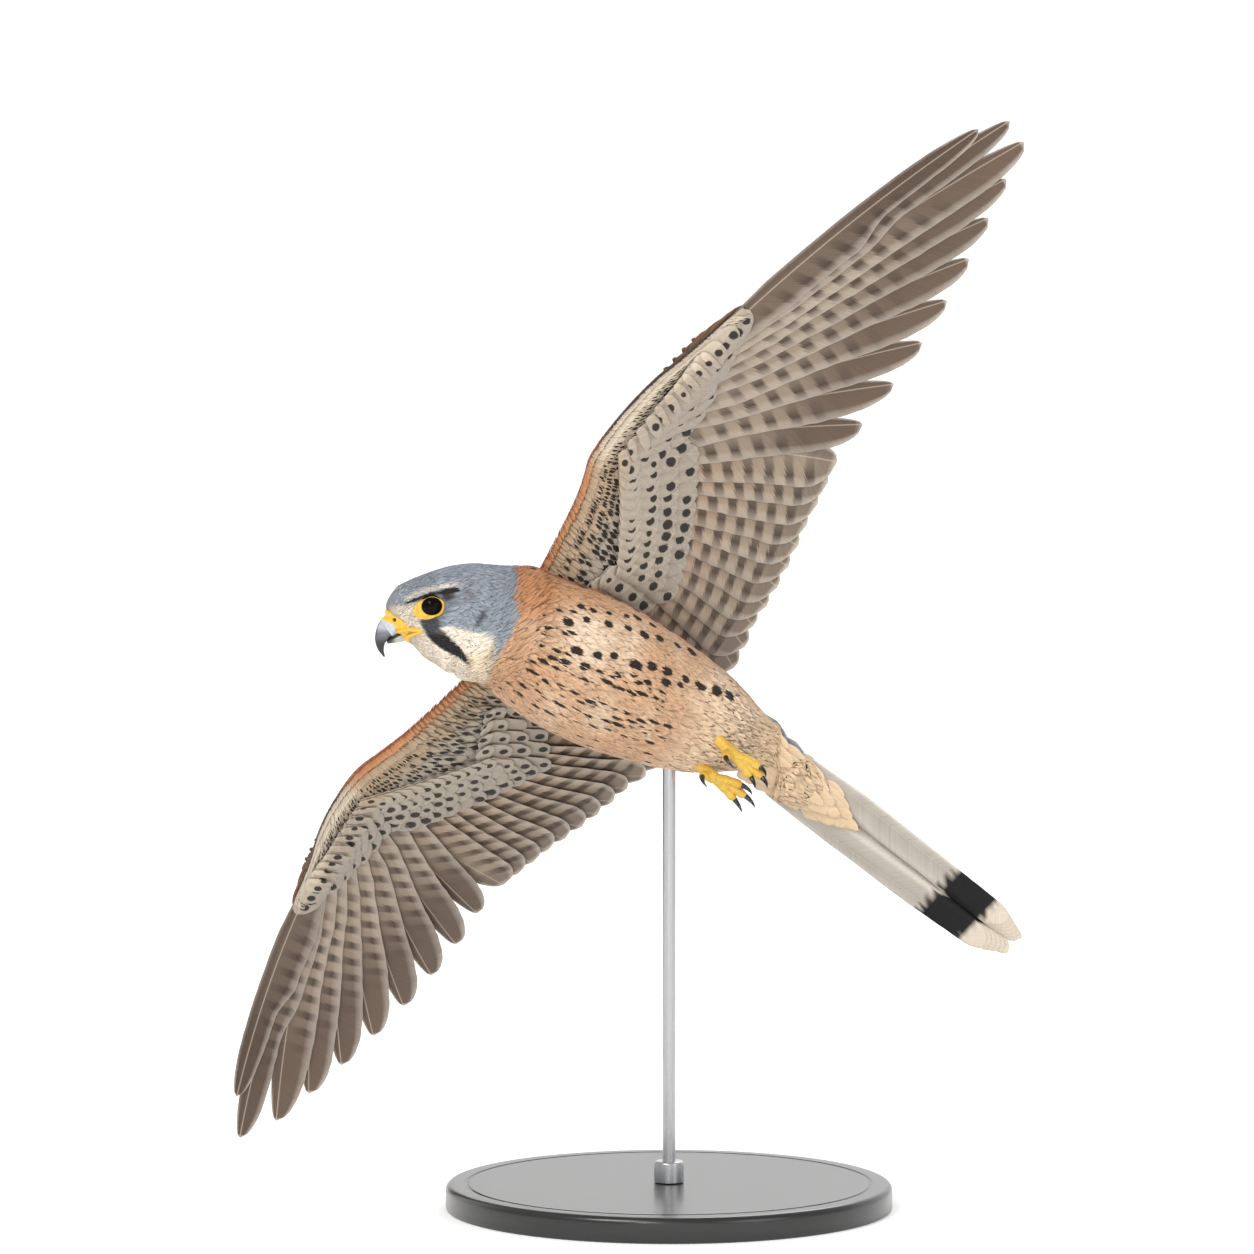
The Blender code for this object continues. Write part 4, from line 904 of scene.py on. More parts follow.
def blades(wing, plans, seed, stations=34, sides=7, thick=FEATHER_THICK, slope=SHINGLE):
    """Closed vanes on a wing's plan, for joined(): points, faces, maps and attributes.

    Each plan is (feather, start, stop, lift, outer, inner, blunt, fall). A vane's point is
    the shaft at s plus u square to it; it is raised by the feather's droop, the shingle's
    slope times u, a camber of -c u^2 and half its thickness, and thins towards its edges.
    """
    draw = np.random.default_rng(seed)
    share = 1 - (1 - np.linspace(0, 1, stations)) ** 1.25
    half = np.linspace(-1, 1, sides)
    ring_half = np.concatenate((half, half[::-1]))
    ring_top = np.concatenate((np.ones(sides), -np.ones(sides)))
    points, across, along, own, over, mark = [], [], [], [], [], []
    for feather, start, stop, lift, outer, inner, blunt, fall in plans:
        at = start + (stop - start) * share
        shaft = feather.shaft(at)
        ahead = np.gradient(shaft, at, axis=0)
        ahead /= np.linalg.norm(ahead, axis=1)[:, None]
        square = np.column_stack((ahead[:, 1], -ahead[:, 0]))
        wide = rounded(share, blunt)
        wave = 0.35 * np.sin(share * draw.uniform(9, 15) + draw.uniform(0, 6))
        fray = 1 + 0.018 * draw.uniform(-1, 1, (stations, 1))
        slot = 1 - feather.notch * gate(at, 0.52, 0.66)[:, None]
        limit = np.where(ring_half > 0, outer, inner * slot)
        u = ring_half * limit * wide[:, None] * fray
        u = u + wave[:, None] * (ring_half < -0.9)
        body = thick * (1 - 0.72 * ring_half**2) * np.minimum(1, wide + 0.15)[:, None]
        shaft_size = 0.55 * (1 - 0.8 * share)[:, None]
        rib = shaft_size * np.exp(-((u / 0.55) ** 2))
        raised = (feather.droop(at) + lift + fall * share)[:, None] + slope * u
        raised = raised - 0.0035 * u**2 + ring_top * (body / 2 + 0.5 * rib)
        flat = shaft[:, None] + square[:, None] * u[..., None]
        points.append(wing.place(np.concatenate((flat, raised[..., None]), -1)))
        across.append(u)
        run = (at * feather.length)[:, None] + 0 * u
        along.append(run)
        own.append(np.full_like(u, draw.uniform()))
        over.append(ring_top + 0 * u)
        tip = stop * feather.length - run
        mark.append(np.stack((tip, ring_half + 0 * u, share[:, None] + 0 * u), -1))
    points, mark = np.array(points), np.array(mark)
    across, along, own, over = map(np.array, (across, along, own, over))
    count, ring = len(points), 2 * sides
    strip = np.arange(count)[:, None, None] / count
    bake_u = strip + (0.06 + 0.41 * (mark[..., 1] + 1)) / count
    bake_v = np.where(over > 0, 0.02, 0.52) + 0.46 * mark[..., 2]
    return {
        "points": points, "faces": closed_faces(stations, ring, count), "mark": mark.reshape(-1, 3),
        "across": across.ravel(), "own": own.ravel(), "over": over.ravel(),
        "barb": np.stack((across, along, own), -1).reshape(-1, 3),
        "vane": np.stack((0.5 + 0.5 * mark[..., 1], mark[..., 2]), -1).reshape(-1, 2),
        "bake": np.stack((bake_u, bake_v), -1).reshape(-1, 2), "count": count,
    }


def flight_look(name, colour):
    """Stiff feather: the barbs' fine streaks, a pale shaft, and dark bars as Bars says."""
    made, tree, shader = new_material(name, colour, 0.62, Sheen_Weight=0.03, Sheen_Roughness=0.5,
                                      Specular_IOR_Level=0.3)
    tint, *kept = (add(tree, "Attribute", {"attribute_name": key})
                   for key in ("Tint", "Barb", "Mark", "Bars"))
    parts, marks, bar = (
        add(tree, "SeparateXYZ", links={0: node.outputs["Vector"]}) for node in kept
    )
    off = add(tree, "Math", {"operation": "ABSOLUTE"}, {0: parts.outputs["X"]})
    back = add(tree, "Math", {"operation": "MULTIPLY", 1: -0.9}, {0: off.outputs[0]})
    line = add(tree, "Math", {"operation": "ADD"}, {0: parts.outputs["Y"], 1: back.outputs[0]})
    own = add(tree, "Math", {"operation": "MULTIPLY", 1: 67.0}, {0: parts.outputs["Z"]})
    wave = add(tree, "CombineXYZ", links={0: line.outputs[0], 1: own.outputs[0]})
    # Barbs stand 0.4 mm apart on a flight feather; they are drawn 0.7 mm apart to show
    streaks = add(tree, "TexNoise", {"Scale": 1.4, "Detail": 2.0}, {"Vector": wave.outputs[0]})
    tall = add(tree, "MapRange", {1: 0.3, 2: 0.7, 3: 0.90, 4: 1.08}, {0: streaks.outputs["Fac"]})
    lit = add(tree, "VectorMath", {"operation": "SCALE"},
              {0: tint.outputs["Color"], "Scale": tall.outputs[0]})
    # Dark bars: one every x mm of the vane, y strong, with ragged slanting edges
    wander = add(tree, "MapRange", {1: 0.3, 2: 0.7, 3: -0.9, 4: 0.9}, {0: streaks.outputs["Fac"]})
    slant = add(tree, "Math", {"operation": "MULTIPLY", 1: 0.30}, {0: off.outputs[0]})
    from_tip = add(tree, "Math", {"operation": "ADD"}, {0: marks.outputs["X"], 1: slant.outputs[0]})
    rough = add(tree, "Math", {"operation": "ADD"}, {0: from_tip.outputs[0], 1: wander.outputs[0]})
    phase = add(tree, "Math", {"operation": "MULTIPLY_ADD", 1: 4.5}, {0: parts.outputs["Z"],
                                                                    2: rough.outputs[0]})
    turns = add(tree, "Math", {"operation": "DIVIDE"}, {0: phase.outputs[0], 1: bar.outputs["X"]})
    step = add(tree, "Math", {"operation": "FRACT"}, {0: turns.outputs[0]})
    centre = add(tree, "Math", {"operation": "SUBTRACT", 1: 0.5}, {0: step.outputs[0]})
    away = add(tree, "Math", {"operation": "ABSOLUTE"}, {0: centre.outputs[0]})
    stripe = add(tree, "MapRange", {1: 0.28, 2: 0.17, 3: 0.0, 4: 1.0}, {0: away.outputs[0]})
    share = add(tree, "Math", {"operation": "MULTIPLY"},
                {0: stripe.outputs[0], 1: bar.outputs["Y"]})
    barred = add(tree, "Mix", {"data_type": "RGBA", 7: (*linear("#40332a"), 1)},
                 {0: share.outputs[0], 6: lit.outputs[0]})
    ragged = add(tree, "MapRange", {1: 0.3, 2: 0.7, 3: -0.12, 4: 0.12}, {0: streaks.outputs["Fac"]})
    dark = spotted(tree, barred.outputs[2], ragged.outputs[0], (1.1, 0.88, 0.95), "#140d0a")
    quill = add(tree, "MapRange", {1: 0.42, 2: 0.18, 3: 0.0, 4: 0.45}, {0: off.outputs[0]})
    pale = add(tree, "Math", {"operation": "MULTIPLY"}, {0: quill.outputs[0], 1: bar.outputs["Z"]})
    final = add(tree, "Mix", {"data_type": "RGBA", 7: (*linear("#d9c9b4"), 1)},
                {0: pale.outputs[0], 6: dark})
    relief = add(tree, "Bump", {"Strength": 0.3, "Distance": 0.0002},
                 {"Height": streaks.outputs["Fac"]})
    tree.links.new(final.outputs[2], shader.inputs["Base Color"])
    tree.links.new(relief.outputs["Normal"], shader.inputs["Normal"])
    return made


remex_look = flight_look("flight_feathers_brown", "#8d8073")


def lay_blades(name, made, tint, slot, node, bars=None, spot=None, quill=0.5):
    """Joins one group of vanes and dresses it: plain, with a pale quill, or barred or spotted."""
    none = 0 * made["across"]
    bars = np.stack((none + 9.0, none, none + quill), 1) if bars is None else bars
    spot = np.zeros((len(none), 3)) if spot is None else spot
    blade = joined(
        name, made["points"], made["faces"], {"Vane": made["vane"], "OFBake": made["bake"]},
        Tint=tint, Bars=bars, Spot=spot, Barb=made["barb"], Mark=made["mark"],
    )
    dress(blade, remex_look, slot, node)


def remex_colour(made, kinds, numbers):
    """Pale grey-buff below with darker tips, dark brown above, and paler fringes at the tips."""
    tip, side, share = made["mark"].T
    per = len(tip) // made["count"]
    hand = np.repeat(np.array([kind == "primary" for kind in kinds], float), per)
    number = np.repeat(np.array(numbers, float), per)
    below = made["over"] < 0
    points = made["points"].reshape(-1, 3)
    colour = np.tile(linear("#9b8a78"), (len(tip), 1))
    warm = (1 - hand) * gate(-side, -0.2, 0.5) * gate(-share, -0.8, -0.45)
    colour = blend(colour, "#a98a70", 0.55 * warm)
    colour = blend(colour, "#6f6155", gate(side, 0.0, 0.12) * (0.45 + 0.25 * hand))
    far = gate(share, 0.50 - 0.012 * number * hand, 0.78) * hand
    colour = blend(colour, "#5d4b3e", far * 0.9)
    colour = blend(colour, "#6a5d52", (1 - hand) * gate(-tip, -17, -7) * 0.6)
    outer = hand * gate(number, 7.4, 8.6)
    colour = blend(colour, "#4a392d", 0.7 * outer)
    fringe = gate(-tip, -1.9, -0.9) * (1 - 0.65 * outer)
    rim = gate(abs(side), 0.9, 0.99) * (0.3 + 0.6 * gate(-tip, -24, -10))
    fringe = np.maximum(fringe, np.maximum(rim, 0.62 * gate(-side, 0.93, 0.99)))
    colour = blend(colour, "#d9cdbf", fringe * 0.85)
    above = np.tile(linear("#493a30"), (len(tip), 1))
    above = blend(above, "#c6b49f", fringe * 0.7)
    colour = np.where(below[:, None], colour, above)
    colour = colour * (1 + 0.10 * (made["own"][:, None] - 0.5))
    inner = gate(-side, 0.22, 0.46) * gate(side, -0.97, -0.86)
    near = gate(share, 0.16, 0.40)
    reach = np.where(hand > 0, gate(-share, -0.84, -0.64) * (0.3 + 0.7 * near), gate(tip, 6, 9))
    bars = np.stack((
        np.where(hand > 0, 11.8, 10.6), np.where(below, 0.92, 0.35) * reach *
        np.where(hand > 0, inner, 0.25 + 0.75 * inner), np.where(below, 0.85, 0.15),
    ), 1)
    return np.clip(colour, 0, 1), bars


def core_rings(wing):
    """Rounded wing sections from inside the trunk out along the root of the last primary."""
    row = wing.row
    secondaries = row[TERTIALS : TERTIALS + SECONDARIES]
    primaries = row[TERTIALS + SECONDARIES :]
    tip = primaries[-1]
    inside = 12.0 - abs(wing.pose["shoulder"][1])
    wall = inside + 24.0
    front = wing.wrist + (-3, -5)
    edge = tip.root + square_to(tip.lie) * 4.5

    def behind(feather):
        return feather.shaft([CORE_OVER_ROOTS / feather.length])[0]

    armpit = np.array((wall, -9.0))
    mid_arm = armpit * 0.45 + front * 0.55 + (0, 1.5)
    stations = [
        ((inside, -7), (inside, 33), 6.5, 0.0),
        (armpit, (wall, 33), 6.5, 0.0),
        (mid_arm, wing.elbow + (0, CORE_OVER_ROOTS), 6.0, 0.0),
    ]
    for share, thick in ((0.5, 5.8), (0.95, 5.6)):
        feather = secondaries[int(round(share * (SECONDARIES - 1)))]
        ahead = mid_arm * (1 - share) + front * share
        stations.append((ahead, behind(feather), thick, feather.raised))
    for at in (3, 6, 9):
        share = at / (PRIMARIES - 1)
        bulge = square_to(wing.pose["hand"]) * 10 * share * (1 - share)
        ahead = front + (edge - front) * share + bulge
        thick, mid = 5.2 - 2.2 * share, primaries[at].raised + share
        stations.append((ahead, behind(primaries[at]), thick, mid))
    far, square = tip.shaft([0.2])[0], square_to(tip.lie)
    stations.append((far + square * 3.5, far - square * 4.0, 1.2, tip.raised))
    return np.array([(*ahead, *back, thick, mid) for ahead, back, thick, mid in stations])


CHORD = np.array((0.0, 0.03, 0.12, 0.3, 0.6, 0.85, 1.0))
BULGE = np.array((0.0, 0.38, 0.72, 1.0, 0.95, 0.6, 0.25))


class Core:
    """The fleshy arm and hand under the coverts, sampled over its chord and its span."""

    def __init__(self, wing, face):
        self.wing, self.face = wing, face
        rows = smooth(core_rings(wing), 10)
        self.rows, self.span = rows, np.linspace(0, 1, len(rows))

    def surface(self, chord, span):
        """Place and outward direction: ahead + chord * (back - ahead), raised by its bulge."""
        shape = np.shape(chord)
        chord, span = np.ravel(chord), np.ravel(span)
        row = np.stack([np.interp(span, self.span, column) for column in self.rows.T], 1)
        flat = row[:, :2] * (1 - chord[:, None]) + row[:, 2:4] * chord[:, None]
        bulge = np.interp(np.clip(chord, 0, 1), CHORD, BULGE) - 0.9 * np.maximum(chord - 1, 0)
        place = self.wing.place(np.column_stack((flat, row[:, 5] + self.face * bulge * row[:, 4])))
        slope = np.interp(np.clip(chord, 0, 1), (0, 0.06, 0.25, 1), (1.0, 0.55, 0.1, -0.08))
        out = self.wing.up * self.face - np.outer(slope, self.wing.back)
        out /= np.linalg.norm(out, axis=1)[:, None]
        return place.reshape(*shape, 3), out.reshape(*shape, 3)

    def lie(self, chord, span):
        """A covert's turn from the chord: it lies as the flight feathers do at its place."""
        place, _ = self.surface(chord, span)
        ahead, _ = self.surface(chord + 0.02, span)
        beside, _ = self.surface(chord, span + 0.01)
        flat = (place - self.wing.shoulder) @ self.wing.out
        roots = np.array([feather.root[0] for feather in self.wing.row])
        lies = np.array([feather.lie for feather in self.wing.row])
        order = np.argsort(roots)
        angle = np.radians(np.interp(flat, roots[order], lies[order]))
        way = np.cos(angle)[:, None] * self.wing.out + np.sin(angle)[:, None] * self.wing.back
        along = (ahead - place) / np.linalg.norm(ahead - place, axis=1)[:, None]
        across = (beside - place) / np.linalg.norm(beside - place, axis=1)[:, None]
        across -= along * np.sum(across * along, 1)[:, None]
        return np.arctan2(np.sum(way * across, 1), np.sum(way * along, 1))


def covert_tone(face, wing):
    """Below: a thin rufous edge, buff, then grey-white; above: chestnut."""

    def paint(points):
        back = (points - wing.shoulder) @ wing.back
        out = (points - wing.shoulder) @ wing.out
        front = np.interp(out, CORE_FRONT[wing.side][0], CORE_FRONT[wing.side][1])
        behind = back - front
        fine = mottle(points, 9, 3)
        colour = np.tile(linear("#b0987c"), (len(points), 1))
        colour = blend(colour, "#aba090", gate(behind, 9, 22))
        colour = blend(colour, "#bd8458", gate(-behind, -3.2, -1.2) * gate(-out, -92, -70))
        colour = blend(colour, "#d5c7b2", gate(-behind, -7, -3) * gate(out, 70, 92) * 0.8)
        colour = blend(colour, "#a89c8d", gate(out, 72, 98) * gate(behind, 3, 8) * 0.85)
        colour = colour * (1 + 0.05 * fine[:, None])
        chestnut = np.tile(linear("#a1592f"), (len(points), 1)) * (1 + 0.12 * fine[:, None])
        hand = gate(out, 78, 100)
        chestnut = blend(chestnut, "#4e3c30", hand)
        return colour if face < 0 else chestnut

    return paint


def own_spots(long, wide, strength, at_share=0.7):
    """Each vane's own spot on its shaft, sized by its long and wide half sizes in mm."""

    def place_spots(place, across, run, length):
        middle = at_share * length[:, None, None]
        parts = (across / wide[:, None, None], (run - middle) / long[:, None, None],
                 np.broadcast_to(strength[:, None, None], run.shape))
        return np.stack(parts, -1).reshape(-1, 3)

    return place_spots


CORE_FRONT = {}
WING_SET = {word: Wing(pose) for word, pose in WINGS.items()}
# Tiers of small coverts: chord share, length, width and spot half sizes, leading edge first
COVERT_TIERS = (
    (0.00, 4.2, 2.2, 0.0, 0.0), (0.05, 5.0, 2.6, 0.0, 0.0), (0.11, 6.2, 3.2, 0.9, 0.45),
    (0.19, 7.5, 3.8, 1.1, 0.6), (0.28, 8.6, 4.4, 1.2, 0.7), (0.37, 9.6, 5.0, 1.3, 0.8),
    (0.47, 11.0, 5.6, 1.5, 1.0), (0.58, 12.0, 6.2, 1.7, 1.3), (0.70, 12.5, 7.2, 2.0, 1.7),
)
covert_look = plumage("covert_feathers", "#b0a28f", spread=0.06, streak=0.16, gloss=0.7)
# How far the greater coverts reach over the flight feathers, and the median ones short of it
GREATER_REACH, MEDIAN_STEP = {"arm": 44.0, "hand": 40.0}, 10.0
for number, (word, wing) in enumerate(WING_SET.items()):
    rows = smooth(core_rings(wing), 10)
    order = np.argsort(rows[:, 0])
    CORE_FRONT[wing.side] = (rows[order, 0], rows[order, 1])
    kinds = [feather.kind for feather in wing.row]
    numbers = [0] * TERTIALS + [0] * SECONDARIES + list(range(PRIMARIES))
    plans = []
    for feather, at in zip(wing.row, numbers):
        outer, inner = feather.widths
        blunt = 0.17 if feather.kind != "primary" else 0.34 - 0.006 * at
        plans.append((feather, 0.0, 1.0, 0.0, outer, inner, blunt, 0.0))
    made = blades(wing, plans, 30 + number)
    tone, bars = remex_colour(made, kinds, numbers)
    lay_blades(f"flight_feathers_{word}", made, tone, "plumage_wing", f"wing_{word}", bars)
    for face, label, seed in ((-1, "under", 40), (1, "over", 50)):
        # Greater and median coverts, one of each to a flight feather
        last = len(wing.row) - 1
        plans = []
        for at, feather in enumerate(wing.row):
            under = FEATHER_STEP * (1 + min(3.4, last - at))
            reach = GREATER_REACH["hand" if feather.kind == "primary" else "arm"]
            reach -= 2.5 * max(0, TERTIALS - at)
            lift = -under if face < 0 else 3.9 * FEATHER_STEP
            long, ahead_wide, blunt = feather.length, 5.6, 0.26
            if feather.kind == "primary":
                ahead_wide, blunt = 4.2, 0.55
                reach -= (0.0, 3.0, 1.0)[at % 3] + 1.2 * max(0, at - last + 4)
            plans.append((feather, 8.0 / long, reach / long, lift, ahead_wide, 8.8, blunt, 0.0))
            for tier in (1, 2, 3):
                over = lift + face * (0.6 + 1.4 * tier)
                short = max(8.0, reach - MEDIAN_STEP * tier)
                plans.append((feather, 4.0 / long, short / long, over, min(5.2, ahead_wide), 8.2,
                              max(0.34, blunt), -0.3 * face))
        made = blades(wing, plans, seed + number, stations=16, sides=5, thick=0.3)
        tip = made["mark"][:, 0]
        count = made["count"]
        per = len(tip) // count
        paint = covert_tone(face, wing)
        tone = paint(made["points"].reshape(-1, 3))
        length = np.repeat([(plan[2] - plan[1]) * plan[0].length for plan in plans], per)
        tier = np.repeat(np.arange(count) % 4, per)
        tone = blend(tone, "#9c9185" if face < 0 else "#5d4434", 0.75 - 0.25 * tier)
        edge = gate(abs(made["mark"][:, 1]), 0.86, 0.98) * 0.35
        tone = blend(tone, "#d0c5b6" if face < 0 else "#b98a63", edge)
        size = 0.7 + 0.5 * made["own"]
        aside, along = (made["own"] * 7.3) % 1.0 - 0.5, (made["own"] * 13.7) % 1.0 - 0.5
        # The next covert outwards hides half the vane, so each spot lies a little inwards
        spot = np.stack(((made["across"] + 2.4 + 1.2 * aside) / ((2.5 - 0.2 * tier) * size),
                         (tip - 4.6 + 0.3 * tier + 2.4 * along) / ((2.4 - 0.25 * tier) * size),
                         (made["own"] * 23.1) % 1.0 > 0.08), 1)
        lay_blades(f"greater_coverts_{label}_{word}", made, tone, "plumage_wing", f"wing_{word}",
                   spot=spot)
        core = Core(wing, face)
        chords, spans, sizes = [], [], []
        draw = np.random.default_rng(seed + 5 + number)
        for tier, (chord, long, wide_mm, spot_long, spot_wide) in enumerate(COVERT_TIERS):
            count = int(205 / (wide_mm * 0.72))
            even = (np.arange(count) + 0.5 * (tier % 2)) / count
            spans.append(0.06 + 0.92 * np.clip(even + draw.uniform(-0.2, 0.2, count) / count, 0, 1))
            chords.append(np.full(count, chord) + draw.uniform(-0.012, 0.012, count))
            sizes.append(np.tile((long, wide_mm, spot_long, spot_wide), (count, 1)))
        chords, spans, sizes = np.concatenate(chords), np.concatenate(spans), np.vstack(sizes)
        chords = np.maximum(chords, 0.0)
        veer = core.lie(chords, spans) * np.clip(0.35 + chords, 0, 1)
        crowded = 0.35 + 0.5 * gate(spans, 0.10, 0.22)
        marked = (sizes[:, 2] > 0) & (draw.uniform(0, 1, len(spans)) < crowded)
        size = draw.uniform(0.85, 1.2, len(spans)) * (1.15 + 0.65 * gate(-spans, -0.45, -0.1))
        made = lay_coat(
            f"small_coverts_{label}_{word}", chords, spans, sizes[:, 0], sizes[:, 1],
            np.full(len(spans), 0.7), seed + 9 + number, rough=0.05, veer=veer,
            surface=core.surface, reach=(0.02, 0.01), depth=lambda chord: 0.1,
            paint=covert_tone(face, wing), unwrap=lambda chord, span: np.stack((span, chord), -1),
            spots=own_spots(np.maximum(sizes[:, 2], 0.3) * size,
                            np.maximum(sizes[:, 3], 0.2) * size, marked.astype(float)),
        )
        dress(made, covert_look, "plumage_wing", f"wing_{word}")
    # The arm's own skin, closed round the leading edge, just inside the coverts. Its Tint is the
    # coverts' colours at 0.7, painted shade under them
    ring = np.concatenate((CHORD, CHORD[:0:-1]))
    face = np.concatenate((BULGE, -BULGE[:0:-1]))
    flat = rows[:, None, :2] * (1 - ring[:, None]) + rows[:, None, 2:4] * ring[:, None]
    raised = rows[:, None, 5] + 0.93 * face * rows[:, None, 4]
    place = wing.place(np.concatenate((flat, raised[..., None]), -1))
    around = np.broadcast_to(ring * np.sign(face + 1e-6) * 0.5 + 0.5, place.shape[:2])
    up_span = np.broadcast_to(np.linspace(0, 1, len(rows))[:, None], place.shape[:2])
    flat = place.reshape(-1, 3)
    upper = np.broadcast_to(np.sign(face + 1e-6) > 0, place.shape[:2]).reshape(-1, 1)
    tone = np.where(upper, covert_tone(1, wing)(flat), covert_tone(-1, wing)(flat)) * 0.7
    arm = joined(f"arm_skin_{word}", place, closed_faces(len(rows), len(ring)),
                 {"OFBake": np.stack((around, up_span), -1).reshape(-1, 2)}, Tint=tone)
    dress(arm, shaded_down_look, "plumage_wing", f"wing_{word}")

# The tail: six pairs of pale grey feathers nearly shut, the outer pairs lowest, each with a
# wide black band before its white tip, and coverts over their roots above and below.

TAIL_PAIRS, TAIL_ROOT, TAIL_LENGTH, TAIL_TIP_STEP = 6, 24.0, 167.0, 2.4
TAIL_HALF, TAIL_STEP, TAIL_TOP = 16.0, 1.3, 1.6
TAIL_BAND, TAIL_WHITE = 25.0, 11.0


class TailPlan:
    """The tail's plan, for blades(): how its rows turn to the world."""

    def place(self, rows):
        """World places of (right, behind, raised) rows from the tail's root."""
        rows = np.asarray(rows, float)
        return TAIL_ORIGIN + rows @ np.stack((TAIL_ACROSS, TAIL_BACK, TAIL_UP))


class TailFeather(Feather):
    """A tail feather: a straight shaft which closes in towards its tip."""

    def __init__(self, across, start, end, raised, widths):
        super().__init__((across * 1.04, start), 90.0, end - start, 0.0, widths, "rectrix")
        self.across, self.raised = across, raised

    def shaft(self, share):
        """(across * (1.04 - 0.24 s), start + length * s)."""
        share = np.asarray(share, float)
        across, back = self.across * (1.04 - 0.24 * share), self.root[1] + self.length * share
        return np.column_stack((across, back))

    def droop(self, share):
        """The shut tail is a shallow roof, whose outer pairs hang and whose tips dip."""
        return self.raised - 1.4 * np.asarray(share) ** 2


tail_plan = TailPlan()
plans = []
for pair in range(TAIL_PAIRS):
    end = TAIL_LENGTH - TAIL_TIP_STEP * pair
    inner, outer = 0.25 + 0.5 * pair, TAIL_HALF - TAIL_STEP * (TAIL_PAIRS - 1 - pair)
    for side in (1, -1):
        vane = (outer - inner) / 2
        raised = TAIL_TOP - 0.7 * FEATHER_STEP * pair - 0.15 * (side < 0)
        feather = TailFeather(side * (outer + inner) / 2, TAIL_ROOT, end, raised, (vane, vane))
        shift = vane * 0.35 * side
        feather.across += shift
        plans.append((feather, 0.0, 1.0, 0.0, vane - shift, vane + shift, 0.085, 0.0))


made = blades(tail_plan, plans, 60, stations=40, slope=0.0)
tip, side, share = made["mark"].T
per = len(tip) // made["count"]
pair = np.repeat(np.arange(made["count"]) // 2, per)
points = made["points"].reshape(-1, 3)
below = made["over"] < 0
fine = mottle(points, 11, 8)
colour = np.tile(linear("#b5ada2"), (len(tip), 1))
colour = np.where(below[:, None], colour, linear("#84898f"))
colour = colour * (1 + 0.06 * fine[:, None])
outer_edge = np.maximum(gate(abs(side), 0.62, 0.9) * (pair >= 4), gate(abs(side), 0.84, 0.97) * 0.8)
colour = blend(colour, "#e3d9cb", 0.8 * outer_edge)
colour = blend(colour, "#75706a", 0.25 * gate(-abs(side), -0.5, 0.0) * below)
ragged = 1.1 * np.sin(side * 9 + pair * 2.1) + 0.9 * fine
band = gate(tip, TAIL_WHITE - 0.8 + ragged, TAIL_WHITE + 0.8 + ragged)
band_end = TAIL_WHITE + TAIL_BAND
band = band * gate(-tip, -band_end - 1 - ragged, -band_end + 1 - ragged)
colour = blend(colour, "#0d0b0b", band)
white = gate(-tip, -TAIL_WHITE - 0.8 - ragged, -TAIL_WHITE + 0.8 - ragged)
colour = blend(colour, "#d8cbb8", white)
lay_blades("tail_feathers", made, np.clip(colour, 0, 1), "plumage_tail", "tail",
           quill=0.5 * (1 - band))

# The coverts under the tail are long and buff; those above are grey
for face, label, base, tiers in (
    (-1, "under", "#dcc09c", ((30, 69), (22, 58), (14, 47), (6, 37))),
    (1, "over", "#8b9097", ((32, 70), (24, 58), (14, 46), (6, 36))),
):
    plans = []
    draw = np.random.default_rng(61)
    lowest = TAIL_TOP - 0.7 * FEATHER_STEP * (TAIL_PAIRS - 1)
    for tier, (start, end) in enumerate(tiers):
        for across in np.linspace(-9.5 - tier, 9.5 + tier, 7):
            reach = end - 1.7 * abs(across) + draw.uniform(-1, 1)
            level = (lowest if face < 0 else TAIL_TOP) + face * (0.9 + 1.25 * tier)
            level = level - face * 0.012 * across**2
            feather = TailFeather(across, start, reach, level, (3.6, 3.6))
            plans.append((feather, 0.0, 1.0, 0.0, 3.4, 3.4, 0.35, -0.5 * face * tier))
    made = blades(tail_plan, plans, 62 + face, stations=12, sides=5, thick=0.3, slope=0.0)
    points = made["points"].reshape(-1, 3)
    tone = np.tile(linear(base), (len(points), 1)) * (1 + 0.07 * mottle(points, 8, 9)[:, None])
    edge = gate(abs(made["mark"][:, 1]), 0.75, 0.98) * 0.35
    tone = blend(tone, "#efe2cd" if face < 0 else "#b9bbbd", edge)
    lay_blades(f"tail_coverts_{label}", made, np.clip(tone, 0, 1), "plumage_tail", "tail",
               quill=0.2)

# The eyes: dark glass, a near-black brown iris round a black pupil under one clear polish.


def revolved(middle, across, along, axis, profile, sides):
    """A turned form: middle + axis * z + r * (across cos + along sin), for (r, z) in a profile."""
    turn = turns_of(sides)
    ring = np.cos(turn)[:, None] * across + np.sin(turn)[:, None] * along
    profile = np.asarray(profile, float)
    return middle + profile[:, None, :1] * ring + profile[:, None, 1:] * axis


eye_look, tree, shader = new_material("dark_glass_eye", "#080403", 0.06, Coat_Weight=0.16,
                                      Coat_Roughness=0.02, Specular_IOR_Level=0.02)
gaze = add(tree, "UVMap", {"uv_map": "Gaze"})
away = add(tree, "SeparateXYZ", links={0: gaze.outputs["UV"]})
iris = add(tree, "TexNoise", {"Scale": 9.0, "Detail": 4.0}, {"Vector": gaze.outputs["UV"]})
rim = add(tree, "MapRange", {1: 0.26, 2: 0.32, 3: 0.0, 4: 1.0}, {0: away.outputs["Y"]})
brown = add(tree, "ValToRGB", links={"Fac": iris.outputs["Fac"]})
for stop, shade_of in zip(brown.color_ramp.elements, ("#070403", "#170c07")):
    stop.color = (*linear(shade_of), 1)
shown = add(tree, "Mix", {"data_type": "RGBA", 6: (0.002, 0.002, 0.002, 1.0)},
            {0: rim.outputs[0], 7: brown.outputs["Color"]})
tree.links.new(shown.outputs[2], shader.inputs["Base Color"])

